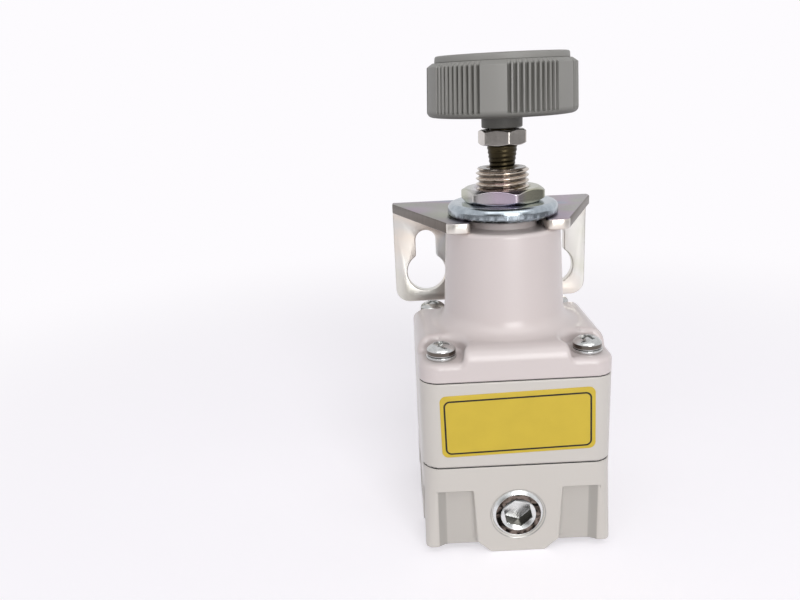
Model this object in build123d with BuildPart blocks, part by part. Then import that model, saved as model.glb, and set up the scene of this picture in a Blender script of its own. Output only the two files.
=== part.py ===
from build123d import *
import os

# Precision pressure regulator with wall bracket, in millimetres.
# It stands on the flat ends of its four port bosses: +Z runs up the adjusting screw's axis, the
# plugged gauge port and the sticker face -Y, and the origin is under the axis, on the floor.

# Square stack of castings
BODY_SIDE = 35.0
CORNER_RADIUS = 3.6
EDGE_ROUND = 0.5
LEG_BOTTOM = 1.75
PORT_BLOCK_TOP = 18.0
MIDDLE_HEIGHT = 16.45
RUBBER = 0.4
RUBBER_INSET = 0.15

# Port bosses, and the shallow recesses beside them
BOSS_HALF_WIDTH = 8.0
BOSS_FOOT_HALF_WIDTH = 5.25
BOSS_CHAMFER = 2.6
RECESS_TOP = 13.2
RECESS_DEPTH = 1.5
LEG_STRIP = 2.3

# The 1/8 inch ports and the passages between them
PORT_AXIS = 8.0
PORT_RADIUS = 4.3
PORT_MOUTH_RADIUS = 4.9
PORT_DEPTH = 8.5
PASSAGE_RADIUS = 1.25
PILOT_RADIUS = 0.8
PILOT_EDGE = 3.5

# Supply valve and its guide
GUIDE_FLANGE_RADIUS = 7.0
GUIDE_FLANGE = 1.8
GUIDE_RECESS = 0.4
GUIDE_SLOT = 1.2
ORING_SECTION = 1.5
CHAMBER_RADIUS = 5.5
CHAMBER_TOP = 10.0
GUIDE_SLEEVE_RADIUS = 2.3
SLEEVE_HEIGHT = 1.0
SEAT_BORE_RADIUS = 2.3
SEAT_LIP_WALL = 0.5
SEAT_LIP = 0.4
OUTLET_FLOOR = 13.5
OUTLET_WALL = 2.4
VALVE_DISC_RADIUS = 3.8
VALVE_DISC = 1.0
VALVE_FACE_RUBBER = 0.6
VALVE_STEM_RADIUS = 1.0
VALVE_TAIL_RADIUS = 1.5
VALVE_TAIL = 4.2
VALVE_STROKE = 0.5
RUNNING_GAP = 0.05
TOUCH_GAP = 0.02
VALVE_SPRING_WIRE = 0.5
VALVE_SPRING_TURNS = 2.5

# Relay diaphragms and the spool they carry
EXHAUST_HEIGHT = 3.6
EXHAUST_WALL = 0.6
EXHAUST_RING_LAND = 2.5
EXHAUST_PORT_RADIUS = 1.25
EXHAUST_HOLE_RADIUS = 0.9
RELAY_PLATE_RADIUS = 7.0
RELAY_PLATE = 0.8
SPOOL_RADIUS = 4.0
SPOOL_STUD_RADIUS = 2.5
EXHAUST_SEAT_RADIUS = 1.6
EXHAUST_SEAT = 0.8
EXHAUST_BORE_RADIUS = 0.6
RELAY_NUT_FLATS = 7.0
RELAY_NUT = 1.2
BACK_CHAMBER = 3.0
LOOSE_GAP = 0.05

# Nozzle, flapper and setting diaphragm
FEEDBACK_DEPTH = 3.35
NOZZLE_RADIUS = 3.0
NOZZLE_FLANGE_FLATS = 7.0
NOZZLE_FLANGE = 1.2
NOZZLE_TIP_RADIUS = 0.8
NOZZLE_BORE_RADIUS = 0.4
NOZZLE_GAP = 0.2
ORIFICE_RADIUS = 1.4
ORIFICE_LENGTH = 3.0
ORIFICE_BORE_RADIUS = 0.2
FLAPPER_RADIUS = 8.0
FLAPPER = 0.8
FLAPPER_STUD_RADIUS = 1.5
DIAPHRAGM_PLATE_RADIUS = 8.8
DIAPHRAGM_PLATE = 1.0
SPRING_BOSS_RADIUS = 5.0
SPRING_BOSS = 1.0
FLAPPER_NUT_FLATS = 5.5
FLAPPER_NUT = 1.8
STUD_END = 0.4

# Bonnet: flange with screw pockets, tower and neck
FLANGE_HEIGHT = 6.05
PAD_ROUND = 2.7
POCKET_FLOOR = 3.35
POCKET_RADIUS = 4.45
POCKET_RIM = 0.6
TOWER_FOOT_RADIUS = 11.65
TOWER_TOP_RADIUS = 10.8
TOWER_HEIGHT = 18.7
TOWER_EDGE = 0.8
FOOT_FILLET = 3.1
NECK_RADIUS = 6.45
NECK_HEIGHT = 1.3
LOWER_CAVITY_RADIUS = 10.0
LOWER_CAVITY = 2.2
SPRING_CAVITY_RADIUS = 8.2
TOWER_ROOF = 3.0
BREATHER_RADIUS = 0.8
BREATHER_HEIGHT = 12.0

# Cover screws, M3, one in each corner
SCREW_EDGE = 4.25
SCREW_RADIUS = 1.5
SCREW_CLEARANCE = 0.15
SCREW_LENGTH = 28.0
TAPPED_DEPTH = 8.0
HEAD_RADIUS = 2.75
HEAD_HEIGHT = 2.0
HEAD_RIM = 0.9
CROSS_WIDTH = 0.75
CROSS_LENGTH = 2.9
CROSS_DEPTH = 1.1
SPRING_WASHER_RADIUS = 2.9
SPRING_WASHER = 0.7
SPRING_WASHER_SLIT = 0.5

# Fork bracket, bent from sheet
SHEET = 2.0
BRACKET_HALF_WIDTH = 20.9
BRACKET_BACK = 21.5
BEND_RADIUS = 1.0
BRACKET_CORNER = 3.0
SIDE_START = 17.1
PRONG_HALF_WIDTH = 10.8
PRONG_END = -8.2
PRONG_OUTER_ROUND = 1.9
PRONG_INNER_ROUND = 1.0
FORK_GAP = 0.45
KEYHOLE_SPACING = 28.0
KEYHOLE_RADIUS = 4.2
KEYHOLE_HEIGHT = 46.3
KEYHOLE_SLOT_RADIUS = 2.2
KEYHOLE_RISE = 7.1
KEYHOLE_ROUND = 0.8
KEYHOLE_LAND = 2.5

# Panel mounting: threaded bushing, washer and nut
BUSHING_RADIUS = 4.95
BUSHING_HEIGHT = 13.8
BUSHING_FLANGE_RADIUS = 6.4
BUSHING_FLANGE = 1.4
BUSHING_CHAMFER = 0.5
BUSHING_PLAY = 0.1
PANEL_WASHER_RADIUS = 10.35
PANEL_WASHER = 2.5
PANEL_WASHER_EDGE = 0.6
PANEL_WASHER_PLAY = 0.35
PANEL_NUT_FLATS = 14.0
PANEL_NUT = 2.7
PANEL_NUT_TURN = -18.4

# Adjusting screw, spring and their seat
ADJUSTER_RADIUS = 2.45
ADJUSTER_COLLAR_RADIUS = 3.6
ADJUSTER_COLLAR = 1.4
RISE_TO_STOP = 1.2
UPPER_SEAT_RADIUS = 7.8
UPPER_SEAT = 1.6
UPPER_SEAT_BOSS = 2.0
SEAT_DIMPLE = 1.0
SEAT_DIMPLE_PLAY = 0.4
SETTING_WIRE = 1.4
SETTING_COIL_RADIUS = 6.1
SETTING_TURNS = 5

# Lock nut
LOCK_NUT_FLATS = 8.0
LOCK_NUT = 2.8
LOCK_NUT_RISE = 4.1
LOCK_NUT_TURN = -21.0

# Knob and its cap
HUB_GAP = 0.3
HUB_RADIUS = 3.75
HUB_LENGTH = 2.3
KNOB_LOW_RADIUS = 13.7
KNOB_TOP_RADIUS = 13.45
KNOB_HEIGHT = 9.4
KNOB_FOOT_ROUND = 1.0
KNOB_RIM_RUN = 1.1
KNOB_RIM_DROP = 0.8
KNOB_WALL = 2.2
KNOB_ROOF = 2.4
KNOB_RIB = 1.4
KNOB_RIBS = 6
GRIP_GROUPS = 6
GROOVES_PER_GROUP = 10
GROOVE_PITCH = 4.2
GROOVE_RADIUS = 0.31
GROOVE_SUNK = 0.14
GROOVE_START = 0.8
GRIP_TURN = -14.0
SCREW_IN_KNOB = 7.2
CAP_RADIUS = 12.07
CAP_HEIGHT = 1.2
CAP_ROUND = 0.45
CAP_SPIGOT_RADIUS = 11.2
CAP_SPIGOT = 0.7

# Front plug and sticker
PLUG_PROUD = 0.2
PLUG_CHAMFER = 0.8
PLUG_LENGTH = 7.0
SOCKET_FLATS = 5.0
SOCKET_DEPTH = 4.0
SOCKET_MOUTH = 0.35
SOCKET_MOUTH_RADIUS = 2.97
STICKER_WIDTH = 28.0
STICKER_HEIGHT = 12.1
STICKER_CORNER = 1.2
STICKER_THICKNESS = 0.1
STICKER_TURN = 1.3

# Heights that follow from the stack
middle_bottom = PORT_BLOCK_TOP + RUBBER
middle_top = middle_bottom + MIDDLE_HEIGHT
bonnet_bottom = middle_top + RUBBER
flange_top = bonnet_bottom + FLANGE_HEIGHT
screw_seat = bonnet_bottom + POCKET_FLOOR
shoulder = flange_top + TOWER_HEIGHT
neck_top = shoulder + NECK_HEIGHT
cavity_top = shoulder - TOWER_ROOF
plate_top = shoulder + SHEET
washer_top = plate_top + PANEL_WASHER
panel_nut_top = washer_top + PANEL_NUT
bushing_top = cavity_top + BUSHING_HEIGHT
lock_nut_bottom = bushing_top + LOCK_NUT_RISE
hub_bottom = lock_nut_bottom + LOCK_NUT + HUB_GAP
knob_bottom = hub_bottom + HUB_LENGTH
knob_top = knob_bottom + KNOB_HEIGHT
adjuster_top = knob_bottom + SCREW_IN_KNOB

# Heights inside the port block, from the guide's flange up
guide_bottom = LEG_BOTTOM + GUIDE_RECESS
oring_bottom = guide_bottom + GUIDE_FLANGE
chamber_floor = oring_bottom + ORING_SECTION
valve_rubber_top = CHAMBER_TOP - SEAT_LIP
valve_disc_top = valve_rubber_top - VALVE_FACE_RUBBER
valve_disc_bottom = valve_disc_top - VALVE_DISC
tail_bottom = valve_disc_bottom - VALVE_TAIL
tail_bore_bottom = tail_bottom - VALVE_STROKE - RUNNING_GAP
sleeve_top = chamber_floor + SLEEVE_HEIGHT

# Heights of the relay and of the nozzle
relay_lower_bottom = PORT_BLOCK_TOP - RELAY_PLATE
exhaust_seat_face = relay_lower_bottom - EXHAUST_SEAT
exhaust_top = middle_bottom + EXHAUST_HEIGHT
upper_relay_rubber_top = exhaust_top + RUBBER
relay_upper_top = upper_relay_rubber_top + RELAY_PLATE
back_chamber_top = upper_relay_rubber_top + BACK_CHAMBER
exhaust_axis = (middle_bottom + exhaust_top) / 2
feedback_floor = middle_top - FEEDBACK_DEPTH
flapper_face = middle_top - FLAPPER
nozzle_tip = flapper_face - NOZZLE_GAP
plate_face = bonnet_bottom + DIAPHRAGM_PLATE
boss_top = plate_face + SPRING_BOSS

# Heights of the setting spring and its upper seat
collar_top = cavity_top - BUSHING_FLANGE - RISE_TO_STOP
collar_bottom = collar_top - ADJUSTER_COLLAR
upper_seat_top = collar_bottom + SEAT_DIMPLE
upper_seat_bottom = upper_seat_top - UPPER_SEAT

bracket_low = KEYHOLE_HEIGHT - KEYHOLE_RADIUS - KEYHOLE_LAND

half_side = BODY_SIDE / 2
screw_spacing = BODY_SIDE - 2 * SCREW_EDGE
pilot_place = half_side - PILOT_EDGE
outlet_place = half_side - PORT_DEPTH + PASSAGE_RADIUS - LOOSE_GAP
outlet_radius = pilot_place - PILOT_RADIUS - OUTLET_WALL
exhaust_radius = pilot_place - ORIFICE_RADIUS - EXHAUST_WALL
exhaust_ring_bore = exhaust_radius - EXHAUST_RING_LAND
boss_inner = GUIDE_FLANGE_RADIUS + 1
front_port_axis = Axis((0, 0, PORT_AXIS), (0, -1, 0))
sides = (0, 90, 180, 270)
FRONT, OUTLET, REAR, SUPPLY = sides

os.makedirs("parts", exist_ok=True)


def side_plane(turn, distance, height=0):
    """Plane that faces outwards from one side, turned about the axis from the front."""
    outward = Vector(0, -1, 0).rotate(Axis.Z, turn)
    along = Vector(1, 0, 0).rotate(Axis.Z, turn)
    return Plane(origin=outward * distance + Vector(0, 0, height), x_dir=along, z_dir=outward)


def ring(outer, inner):
    """Sketch of a flat ring, drawn in the open sketch."""
    Circle(outer)
    Circle(inner, mode=Mode.SUBTRACT)


# Port block: square block with a boss and two open recesses on every side
recess_outer = half_side - LEG_STRIP
recess = [
    (BOSS_HALF_WIDTH, -half_side - 1),
    (recess_outer, -half_side - 1),
    (recess_outer, -half_side),
    (recess_outer - RECESS_DEPTH, -half_side + RECESS_DEPTH),
    (BOSS_HALF_WIDTH, -half_side + RECESS_DEPTH),
]
mirrored_recess = [(-x, y) for x, y in recess]
boss_outline = [
    (-BOSS_HALF_WIDTH, RECESS_TOP),
    (-BOSS_HALF_WIDTH, BOSS_CHAMFER),
    (-BOSS_FOOT_HALF_WIDTH, 0),
    (BOSS_FOOT_HALF_WIDTH, 0),
    (BOSS_HALF_WIDTH, BOSS_CHAMFER),
    (BOSS_HALF_WIDTH, RECESS_TOP),
]
with BuildPart() as port_block:
    with BuildSketch(Plane.XY.offset(LEG_BOTTOM)):
        RectangleRounded(BODY_SIDE, BODY_SIDE, CORNER_RADIUS)
    extrude(amount=PORT_BLOCK_TOP - LEG_BOTTOM)
    fillet(port_block.faces().sort_by(Axis.Z)[0].edges(), EDGE_ROUND)
    with BuildSketch(Plane.XY.offset(LEG_BOTTOM)):
        with PolarLocations(0, 4):
            Polygon(*recess, align=None)
            Polygon(*mirrored_recess, align=None)
    extrude(amount=RECESS_TOP - LEG_BOTTOM, mode=Mode.SUBTRACT)
    for turn in sides:
        with BuildSketch(side_plane(turn, half_side)):
            Polygon(*boss_outline, align=None)
        extrude(amount=boss_inner - half_side)
    # valve guide's bore, supply chamber, seat and outlet chamber on the axis
    with BuildSketch(Plane.XY):
        Circle(GUIDE_FLANGE_RADIUS)
    extrude(amount=chamber_floor, mode=Mode.SUBTRACT)
    with BuildSketch(Plane.XY.offset(chamber_floor)):
        Circle(CHAMBER_RADIUS)
    extrude(amount=CHAMBER_TOP - chamber_floor, mode=Mode.SUBTRACT)
    with BuildSketch(Plane.XY.offset(OUTLET_FLOOR)):
        Circle(outlet_radius)
    extrude(amount=PORT_BLOCK_TOP - OUTLET_FLOOR, mode=Mode.SUBTRACT)
    with BuildSketch(Plane.XY.offset(CHAMBER_TOP)):
        Circle(SEAT_BORE_RADIUS + SEAT_LIP_WALL)
    extrude(amount=-SEAT_LIP)
    with BuildSketch(Plane.XY.offset(CHAMBER_TOP - SEAT_LIP)):
        Circle(SEAT_BORE_RADIUS)
    extrude(amount=OUTLET_FLOOR - CHAMBER_TOP + SEAT_LIP, mode=Mode.SUBTRACT)
    # ports with their countersunk mouths
    for turn in sides:
        with Locations(side_plane(turn, half_side, PORT_AXIS)):
            CounterSinkHole(PORT_RADIUS, PORT_MOUTH_RADIUS, PORT_DEPTH, counter_sink_angle=90)
    # supply passage into the chamber, and outlet passages down from the outlet chamber
    with BuildSketch(side_plane(SUPPLY, half_side - PORT_DEPTH + 1, PORT_AXIS)):
        Circle(PASSAGE_RADIUS)
    extrude(amount=CHAMBER_RADIUS - half_side + PORT_DEPTH - 2, mode=Mode.SUBTRACT)
    with BuildSketch(Plane.XY.offset(PORT_AXIS)):
        with Locations((outlet_place, 0), (0, outlet_place), (0, -outlet_place)):
            Circle(PASSAGE_RADIUS)
    extrude(amount=OUTLET_FLOOR - PORT_AXIS, mode=Mode.SUBTRACT)
    # pilot passages to the orifice and to the feedback chamber, and the tapped holes
    with BuildSketch(Plane.XY.offset(PORT_AXIS)):
        with Locations((-pilot_place, 0), (pilot_place, 0)):
            Circle(PILOT_RADIUS)
    extrude(amount=PORT_BLOCK_TOP - PORT_AXIS, mode=Mode.SUBTRACT)
    with BuildSketch(Plane.XY.offset(PORT_BLOCK_TOP)):
        with GridLocations(screw_spacing, screw_spacing, 2, 2):
            Circle(SCREW_RADIUS + LOOSE_GAP)
    extrude(amount=-TAPPED_DEPTH, mode=Mode.SUBTRACT)
port_block.part.label = "port_block"
export_step(port_block.part, "parts/port_block.step")

# Valve guide: screwed into the foot, with a sleeve for the valve's tail and a driver slot
with BuildPart() as valve_guide:
    with BuildSketch(Plane.XY.offset(guide_bottom)):
        Circle(GUIDE_FLANGE_RADIUS - LOOSE_GAP)
    extrude(amount=GUIDE_FLANGE)
    with BuildSketch(Plane.XY.offset(oring_bottom)):
        Circle(CHAMBER_RADIUS - LOOSE_GAP)
    extrude(amount=ORING_SECTION)
    with BuildSketch(Plane.XY.offset(chamber_floor)):
        Circle(GUIDE_SLEEVE_RADIUS)
    extrude(amount=SLEEVE_HEIGHT)
    with BuildSketch(Plane.XY.offset(sleeve_top)):
        Circle(VALVE_TAIL_RADIUS + RUNNING_GAP)
    extrude(amount=tail_bore_bottom - sleeve_top, mode=Mode.SUBTRACT)
    with BuildSketch(Plane.XY.offset(guide_bottom)):
        Rectangle(2 * GUIDE_FLANGE_RADIUS, GUIDE_SLOT)
    extrude(amount=GUIDE_SLOT / 2, mode=Mode.SUBTRACT)
valve_guide.part.label = "valve_guide"
export_step(valve_guide.part, "parts/valve_guide.step")

# O-ring between the guide's flange and the step of its bore
oring_centre = (GUIDE_FLANGE_RADIUS + CHAMBER_RADIUS) / 2
oring_section_radius = min(ORING_SECTION, GUIDE_FLANGE_RADIUS - CHAMBER_RADIUS) / 2
with BuildPart() as valve_guide_oring:
    with BuildSketch(Plane.XZ):
        with Locations((oring_centre, oring_bottom + ORING_SECTION / 2)):
            Circle(oring_section_radius)
    revolve(axis=Axis.Z)
valve_guide_oring.part.label = "valve_guide_oring"
export_step(valve_guide_oring.part, "parts/valve_guide_oring.step")

# Supply valve: tail in the guide, disc, and stem up to the exhaust seat
with BuildPart() as supply_valve:
    with BuildSketch(Plane.XY.offset(tail_bottom)):
        Circle(VALVE_TAIL_RADIUS)
    extrude(amount=VALVE_TAIL)
    with BuildSketch(Plane.XY.offset(valve_disc_bottom)):
        Circle(VALVE_DISC_RADIUS)
    extrude(amount=VALVE_DISC)
    with BuildSketch(Plane.XY.offset(valve_disc_top)):
        Circle(VALVE_STEM_RADIUS)
    extrude(amount=exhaust_seat_face - TOUCH_GAP - valve_disc_top)
    chamfer(supply_valve.faces().sort_by(Axis.Z)[-1].edges(), VALVE_STEM_RADIUS / 4)
supply_valve.part.label = "supply_valve"
export_step(supply_valve.part, "parts/supply_valve.step")

# Rubber face bonded on the disc, closed against the seat's lip
with BuildPart() as valve_rubber:
    with BuildSketch(Plane.XY.offset(valve_disc_top)):
        ring(VALVE_DISC_RADIUS, VALVE_STEM_RADIUS)
    extrude(amount=VALVE_FACE_RUBBER - TOUCH_GAP)
valve_rubber.part.label = "valve_rubber"
export_step(valve_rubber.part, "parts/valve_rubber.step")

# Valve spring, round the guide's sleeve
valve_coil_radius = GUIDE_SLEEVE_RADIUS + VALVE_SPRING_WIRE / 2 + RUNNING_GAP
valve_coil_height = valve_disc_bottom - chamber_floor - VALVE_SPRING_WIRE - 2 * TOUCH_GAP
with BuildPart() as valve_spring:
    with BuildLine(Plane.XY.offset(chamber_floor + VALVE_SPRING_WIRE / 2 + TOUCH_GAP)):
        coil = Helix(valve_coil_height / VALVE_SPRING_TURNS, valve_coil_height, valve_coil_radius)
    with BuildSketch(Plane(origin=coil @ 0, z_dir=coil % 0)):
        Circle(VALVE_SPRING_WIRE / 2)
    sweep()
valve_spring.part.label = "valve_spring"
export_step(valve_spring.part, "parts/valve_spring.step")

# Relay diaphragm: the lower seam's rubber sheet, clamped between port block and middle block
with BuildPart() as relay_diaphragm:
    with BuildSketch(Plane.XY.offset(PORT_BLOCK_TOP)):
        side = BODY_SIDE - 2 * RUBBER_INSET
        RectangleRounded(side, side, CORNER_RADIUS - RUBBER_INSET)
        Circle(SPOOL_STUD_RADIUS, mode=Mode.SUBTRACT)
        with Locations((-pilot_place, 0), (pilot_place, 0)):
            Circle(PILOT_RADIUS, mode=Mode.SUBTRACT)
        with GridLocations(screw_spacing, screw_spacing, 2, 2):
            Circle(SCREW_RADIUS + SCREW_CLEARANCE, mode=Mode.SUBTRACT)
    extrude(amount=RUBBER)
relay_diaphragm.part.label = "relay_diaphragm"
export_step(relay_diaphragm.part, "parts/relay_diaphragm.step")

# Relay spool: exhaust seat, studs for both plates, and the bore that vents to the exhaust ring
with BuildPart() as relay_spool:
    with BuildSketch(Plane.XY.offset(exhaust_seat_face)):
        Circle(EXHAUST_SEAT_RADIUS)
    extrude(amount=EXHAUST_SEAT)
    with BuildSketch(Plane.XY.offset(relay_lower_bottom)):
        Circle(SPOOL_STUD_RADIUS)
    extrude(amount=relay_upper_top + RELAY_NUT - relay_lower_bottom)
    with BuildSketch(Plane.XY.offset(middle_bottom)):
        Circle(SPOOL_RADIUS)
    extrude(amount=EXHAUST_HEIGHT)
    with BuildSketch(Plane.XY.offset(exhaust_seat_face)):
        Circle(EXHAUST_BORE_RADIUS)
    extrude(amount=exhaust_axis - exhaust_seat_face, mode=Mode.SUBTRACT)
    for turn in (FRONT, OUTLET):
        with BuildSketch(side_plane(turn, 0, exhaust_axis)):
            Circle(EXHAUST_BORE_RADIUS)
        extrude(amount=SPOOL_RADIUS + 1, both=True, mode=Mode.SUBTRACT)
relay_spool.part.label = "relay_spool"
export_step(relay_spool.part, "parts/relay_spool.step")

# Plates that stiffen the middle of each relay diaphragm
with BuildPart() as relay_lower_plate:
    with BuildSketch(Plane.XY.offset(relay_lower_bottom)):
        ring(RELAY_PLATE_RADIUS, SPOOL_STUD_RADIUS)
    extrude(amount=RELAY_PLATE)
relay_lower_plate.part.label = "relay_lower_plate"
export_step(relay_lower_plate.part, "parts/relay_lower_plate.step")

with BuildPart() as relay_upper_plate:
    with BuildSketch(Plane.XY.offset(upper_relay_rubber_top)):
        ring(RELAY_PLATE_RADIUS, SPOOL_STUD_RADIUS)
    extrude(amount=RELAY_PLATE)
relay_upper_plate.part.label = "relay_upper_plate"
export_step(relay_upper_plate.part, "parts/relay_upper_plate.step")

with BuildPart() as relay_nut:
    with BuildSketch(Plane.XY.offset(relay_upper_top)):
        RegularPolygon(RELAY_NUT_FLATS / 2, 6, major_radius=False)
        Circle(SPOOL_STUD_RADIUS, mode=Mode.SUBTRACT)
    extrude(amount=RELAY_NUT)
relay_nut.part.label = "relay_nut"
export_step(relay_nut.part, "parts/relay_nut.step")

# Exhaust ring: spaces the two relay diaphragms and lets the vented air out to the side
with BuildPart() as exhaust_ring:
    with BuildSketch(Plane.XY.offset(middle_bottom)):
        ring(exhaust_radius - LOOSE_GAP, exhaust_ring_bore)
    extrude(amount=EXHAUST_HEIGHT)
    for turn in (FRONT, OUTLET):
        with BuildSketch(side_plane(turn, 0, exhaust_axis)):
            Circle(EXHAUST_HOLE_RADIUS)
        extrude(amount=exhaust_radius + 1, both=True, mode=Mode.SUBTRACT)
exhaust_ring.part.label = "exhaust_ring"
export_step(exhaust_ring.part, "parts/exhaust_ring.step")

# Exhaust diaphragm: round sheet on top of the ring
with BuildPart() as exhaust_diaphragm:
    with BuildSketch(Plane.XY.offset(exhaust_top)):
        ring(exhaust_radius - LOOSE_GAP, SPOOL_STUD_RADIUS)
    extrude(amount=RUBBER)
exhaust_diaphragm.part.label = "exhaust_diaphragm"
export_step(exhaust_diaphragm.part, "parts/exhaust_diaphragm.step")

# Middle block: relay chambers below, feedback chamber above, and the web that holds the nozzle
pilot_slant = pilot_place - exhaust_ring_bore + PILOT_RADIUS / 2
pilot_turn = back_chamber_top + pilot_slant - PILOT_RADIUS
with BuildPart() as middle_block:
    with BuildSketch(Plane.XY.offset(middle_bottom)):
        RectangleRounded(BODY_SIDE, BODY_SIDE, CORNER_RADIUS)
    extrude(amount=MIDDLE_HEIGHT)
    with BuildSketch(Plane.XY.offset(middle_bottom)):
        Circle(exhaust_radius)
    extrude(amount=EXHAUST_HEIGHT + RUBBER, mode=Mode.SUBTRACT)
    with BuildSketch(Plane.XY.offset(upper_relay_rubber_top)):
        Circle(exhaust_ring_bore)
    extrude(amount=BACK_CHAMBER, mode=Mode.SUBTRACT)
    with BuildSketch(Plane.XY.offset(back_chamber_top)):
        Circle(NOZZLE_RADIUS)
    extrude(amount=feedback_floor - back_chamber_top, mode=Mode.SUBTRACT)
    with BuildSketch(Plane.XY.offset(feedback_floor)):
        Circle(exhaust_radius)
    extrude(amount=FEEDBACK_DEPTH, mode=Mode.SUBTRACT)
    # exhaust to the rear face
    with BuildSketch(side_plane(REAR, half_side, exhaust_axis)):
        Circle(EXHAUST_PORT_RADIUS)
    extrude(amount=exhaust_radius - 1 - half_side, mode=Mode.SUBTRACT)
    # orifice seat, and the pilot passage up from it, met by one drilled at 45 degrees from the chamber
    with BuildSketch(Plane.XY.offset(middle_bottom)):
        with Locations((-pilot_place, 0)):
            Circle(ORIFICE_RADIUS)
    extrude(amount=ORIFICE_LENGTH, mode=Mode.SUBTRACT)
    with BuildSketch(Plane.XY.offset(middle_bottom)):
        with Locations((-pilot_place, 0)):
            Circle(PILOT_RADIUS)
    extrude(amount=pilot_turn - middle_bottom, mode=Mode.SUBTRACT)
    with BuildSketch(Plane(origin=(-pilot_place, 0, pilot_turn), z_dir=(1, 0, -1))):
        Circle(PILOT_RADIUS)
    extrude(amount=(pilot_slant + PILOT_RADIUS) * 2 ** 0.5, mode=Mode.SUBTRACT)
    # feedback passage, opening into its chamber through a slot in the top face
    with BuildSketch(Plane.XY.offset(middle_bottom)):
        with Locations((pilot_place, 0)):
            Circle(PILOT_RADIUS)
    extrude(amount=MIDDLE_HEIGHT, mode=Mode.SUBTRACT)
    with BuildSketch(Plane.XY.offset(middle_top)):
        with Locations((pilot_place, 0)):
            Rectangle(pilot_place - exhaust_radius + 1, 2 * PILOT_RADIUS, align=(Align.MAX, Align.CENTER))
    extrude(amount=-PILOT_RADIUS, mode=Mode.SUBTRACT)
    with BuildSketch(Plane.XY.offset(middle_bottom)):
        with GridLocations(screw_spacing, screw_spacing, 2, 2):
            Circle(SCREW_RADIUS + SCREW_CLEARANCE)
    extrude(amount=MIDDLE_HEIGHT, mode=Mode.SUBTRACT)
middle_block.part.label = "middle_block"
export_step(middle_block.part, "parts/middle_block.step")

# Fixed orifice: brass plug pressed into the supply pilot passage
with BuildPart() as fixed_orifice:
    with BuildSketch(Plane.XY.offset(middle_bottom)):
        with Locations((-pilot_place, 0)):
            ring(ORIFICE_RADIUS, ORIFICE_BORE_RADIUS)
    extrude(amount=ORIFICE_LENGTH)
fixed_orifice.part.label = "fixed_orifice"
export_step(fixed_orifice.part, "parts/fixed_orifice.step")

# Nozzle: screwed into the web, its cone just under the flapper
with BuildPart() as nozzle:
    with BuildSketch(Plane.XY.offset(back_chamber_top + 1)):
        Circle(NOZZLE_RADIUS)
    extrude(amount=feedback_floor - back_chamber_top - 1)
    with BuildSketch(Plane.XY.offset(feedback_floor)):
        RegularPolygon(NOZZLE_FLANGE_FLATS / 2, 6, major_radius=False)
    extrude(amount=NOZZLE_FLANGE)
    with BuildSketch(Plane.XZ):
        Polygon(
            (0, feedback_floor + NOZZLE_FLANGE),
            (NOZZLE_RADIUS, feedback_floor + NOZZLE_FLANGE),
            (NOZZLE_TIP_RADIUS, nozzle_tip),
            (0, nozzle_tip),
            align=None,
        )
    revolve(axis=Axis.Z)
    with BuildSketch(Plane.XY.offset(back_chamber_top)):
        Circle(NOZZLE_BORE_RADIUS)
    extrude(amount=nozzle_tip - back_chamber_top, mode=Mode.SUBTRACT)
nozzle.part.label = "nozzle"
export_step(nozzle.part, "parts/nozzle.step")

# Setting diaphragm: the upper seam's rubber sheet, clamped between middle block and bonnet
with BuildPart() as setting_diaphragm:
    with BuildSketch(Plane.XY.offset(middle_top)):
        RectangleRounded(side, side, CORNER_RADIUS - RUBBER_INSET)
        Circle(FLAPPER_STUD_RADIUS, mode=Mode.SUBTRACT)
        with GridLocations(screw_spacing, screw_spacing, 2, 2):
            Circle(SCREW_RADIUS + SCREW_CLEARANCE, mode=Mode.SUBTRACT)
    extrude(amount=RUBBER)
setting_diaphragm.part.label = "setting_diaphragm"
export_step(setting_diaphragm.part, "parts/setting_diaphragm.step")

# Flapper: plate under the setting diaphragm, with the stud that clamps it
with BuildPart() as flapper:
    with BuildSketch(Plane.XY.offset(flapper_face)):
        Circle(FLAPPER_RADIUS)
    extrude(amount=FLAPPER)
    with BuildSketch(Plane.XY.offset(middle_top)):
        Circle(FLAPPER_STUD_RADIUS)
    extrude(amount=boss_top + FLAPPER_NUT + STUD_END - middle_top)
flapper.part.label = "flapper"
export_step(flapper.part, "parts/flapper.step")

# Diaphragm plate: lower seat of the setting spring
with BuildPart() as diaphragm_plate:
    with BuildSketch(Plane.XY.offset(bonnet_bottom)):
        ring(DIAPHRAGM_PLATE_RADIUS, FLAPPER_STUD_RADIUS)
    extrude(amount=DIAPHRAGM_PLATE)
    with BuildSketch(Plane.XY.offset(plate_face)):
        ring(SPRING_BOSS_RADIUS, FLAPPER_STUD_RADIUS)
    extrude(amount=SPRING_BOSS)
diaphragm_plate.part.label = "diaphragm_plate"
export_step(diaphragm_plate.part, "parts/diaphragm_plate.step")

with BuildPart() as flapper_nut:
    with BuildSketch(Plane.XY.offset(boss_top)):
        RegularPolygon(FLAPPER_NUT_FLATS / 2, 6, major_radius=False)
        Circle(FLAPPER_STUD_RADIUS, mode=Mode.SUBTRACT)
    extrude(amount=FLAPPER_NUT)
flapper_nut.part.label = "flapper_nut"
export_step(flapper_nut.part, "parts/flapper_nut.step")

# Setting spring, between the diaphragm plate and the upper seat
coil_bottom = plate_face + SETTING_WIRE / 2 + TOUCH_GAP
coil_height = upper_seat_bottom - plate_face - SETTING_WIRE - 2 * TOUCH_GAP
with BuildPart() as setting_spring:
    with BuildLine(Plane.XY.offset(coil_bottom)):
        coil = Helix(coil_height / SETTING_TURNS, coil_height, SETTING_COIL_RADIUS)
    with BuildSketch(Plane(origin=coil @ 0, z_dir=coil % 0)):
        Circle(SETTING_WIRE / 2)
    sweep()
setting_spring.part.label = "setting_spring"
export_step(setting_spring.part, "parts/setting_spring.step")

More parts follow.
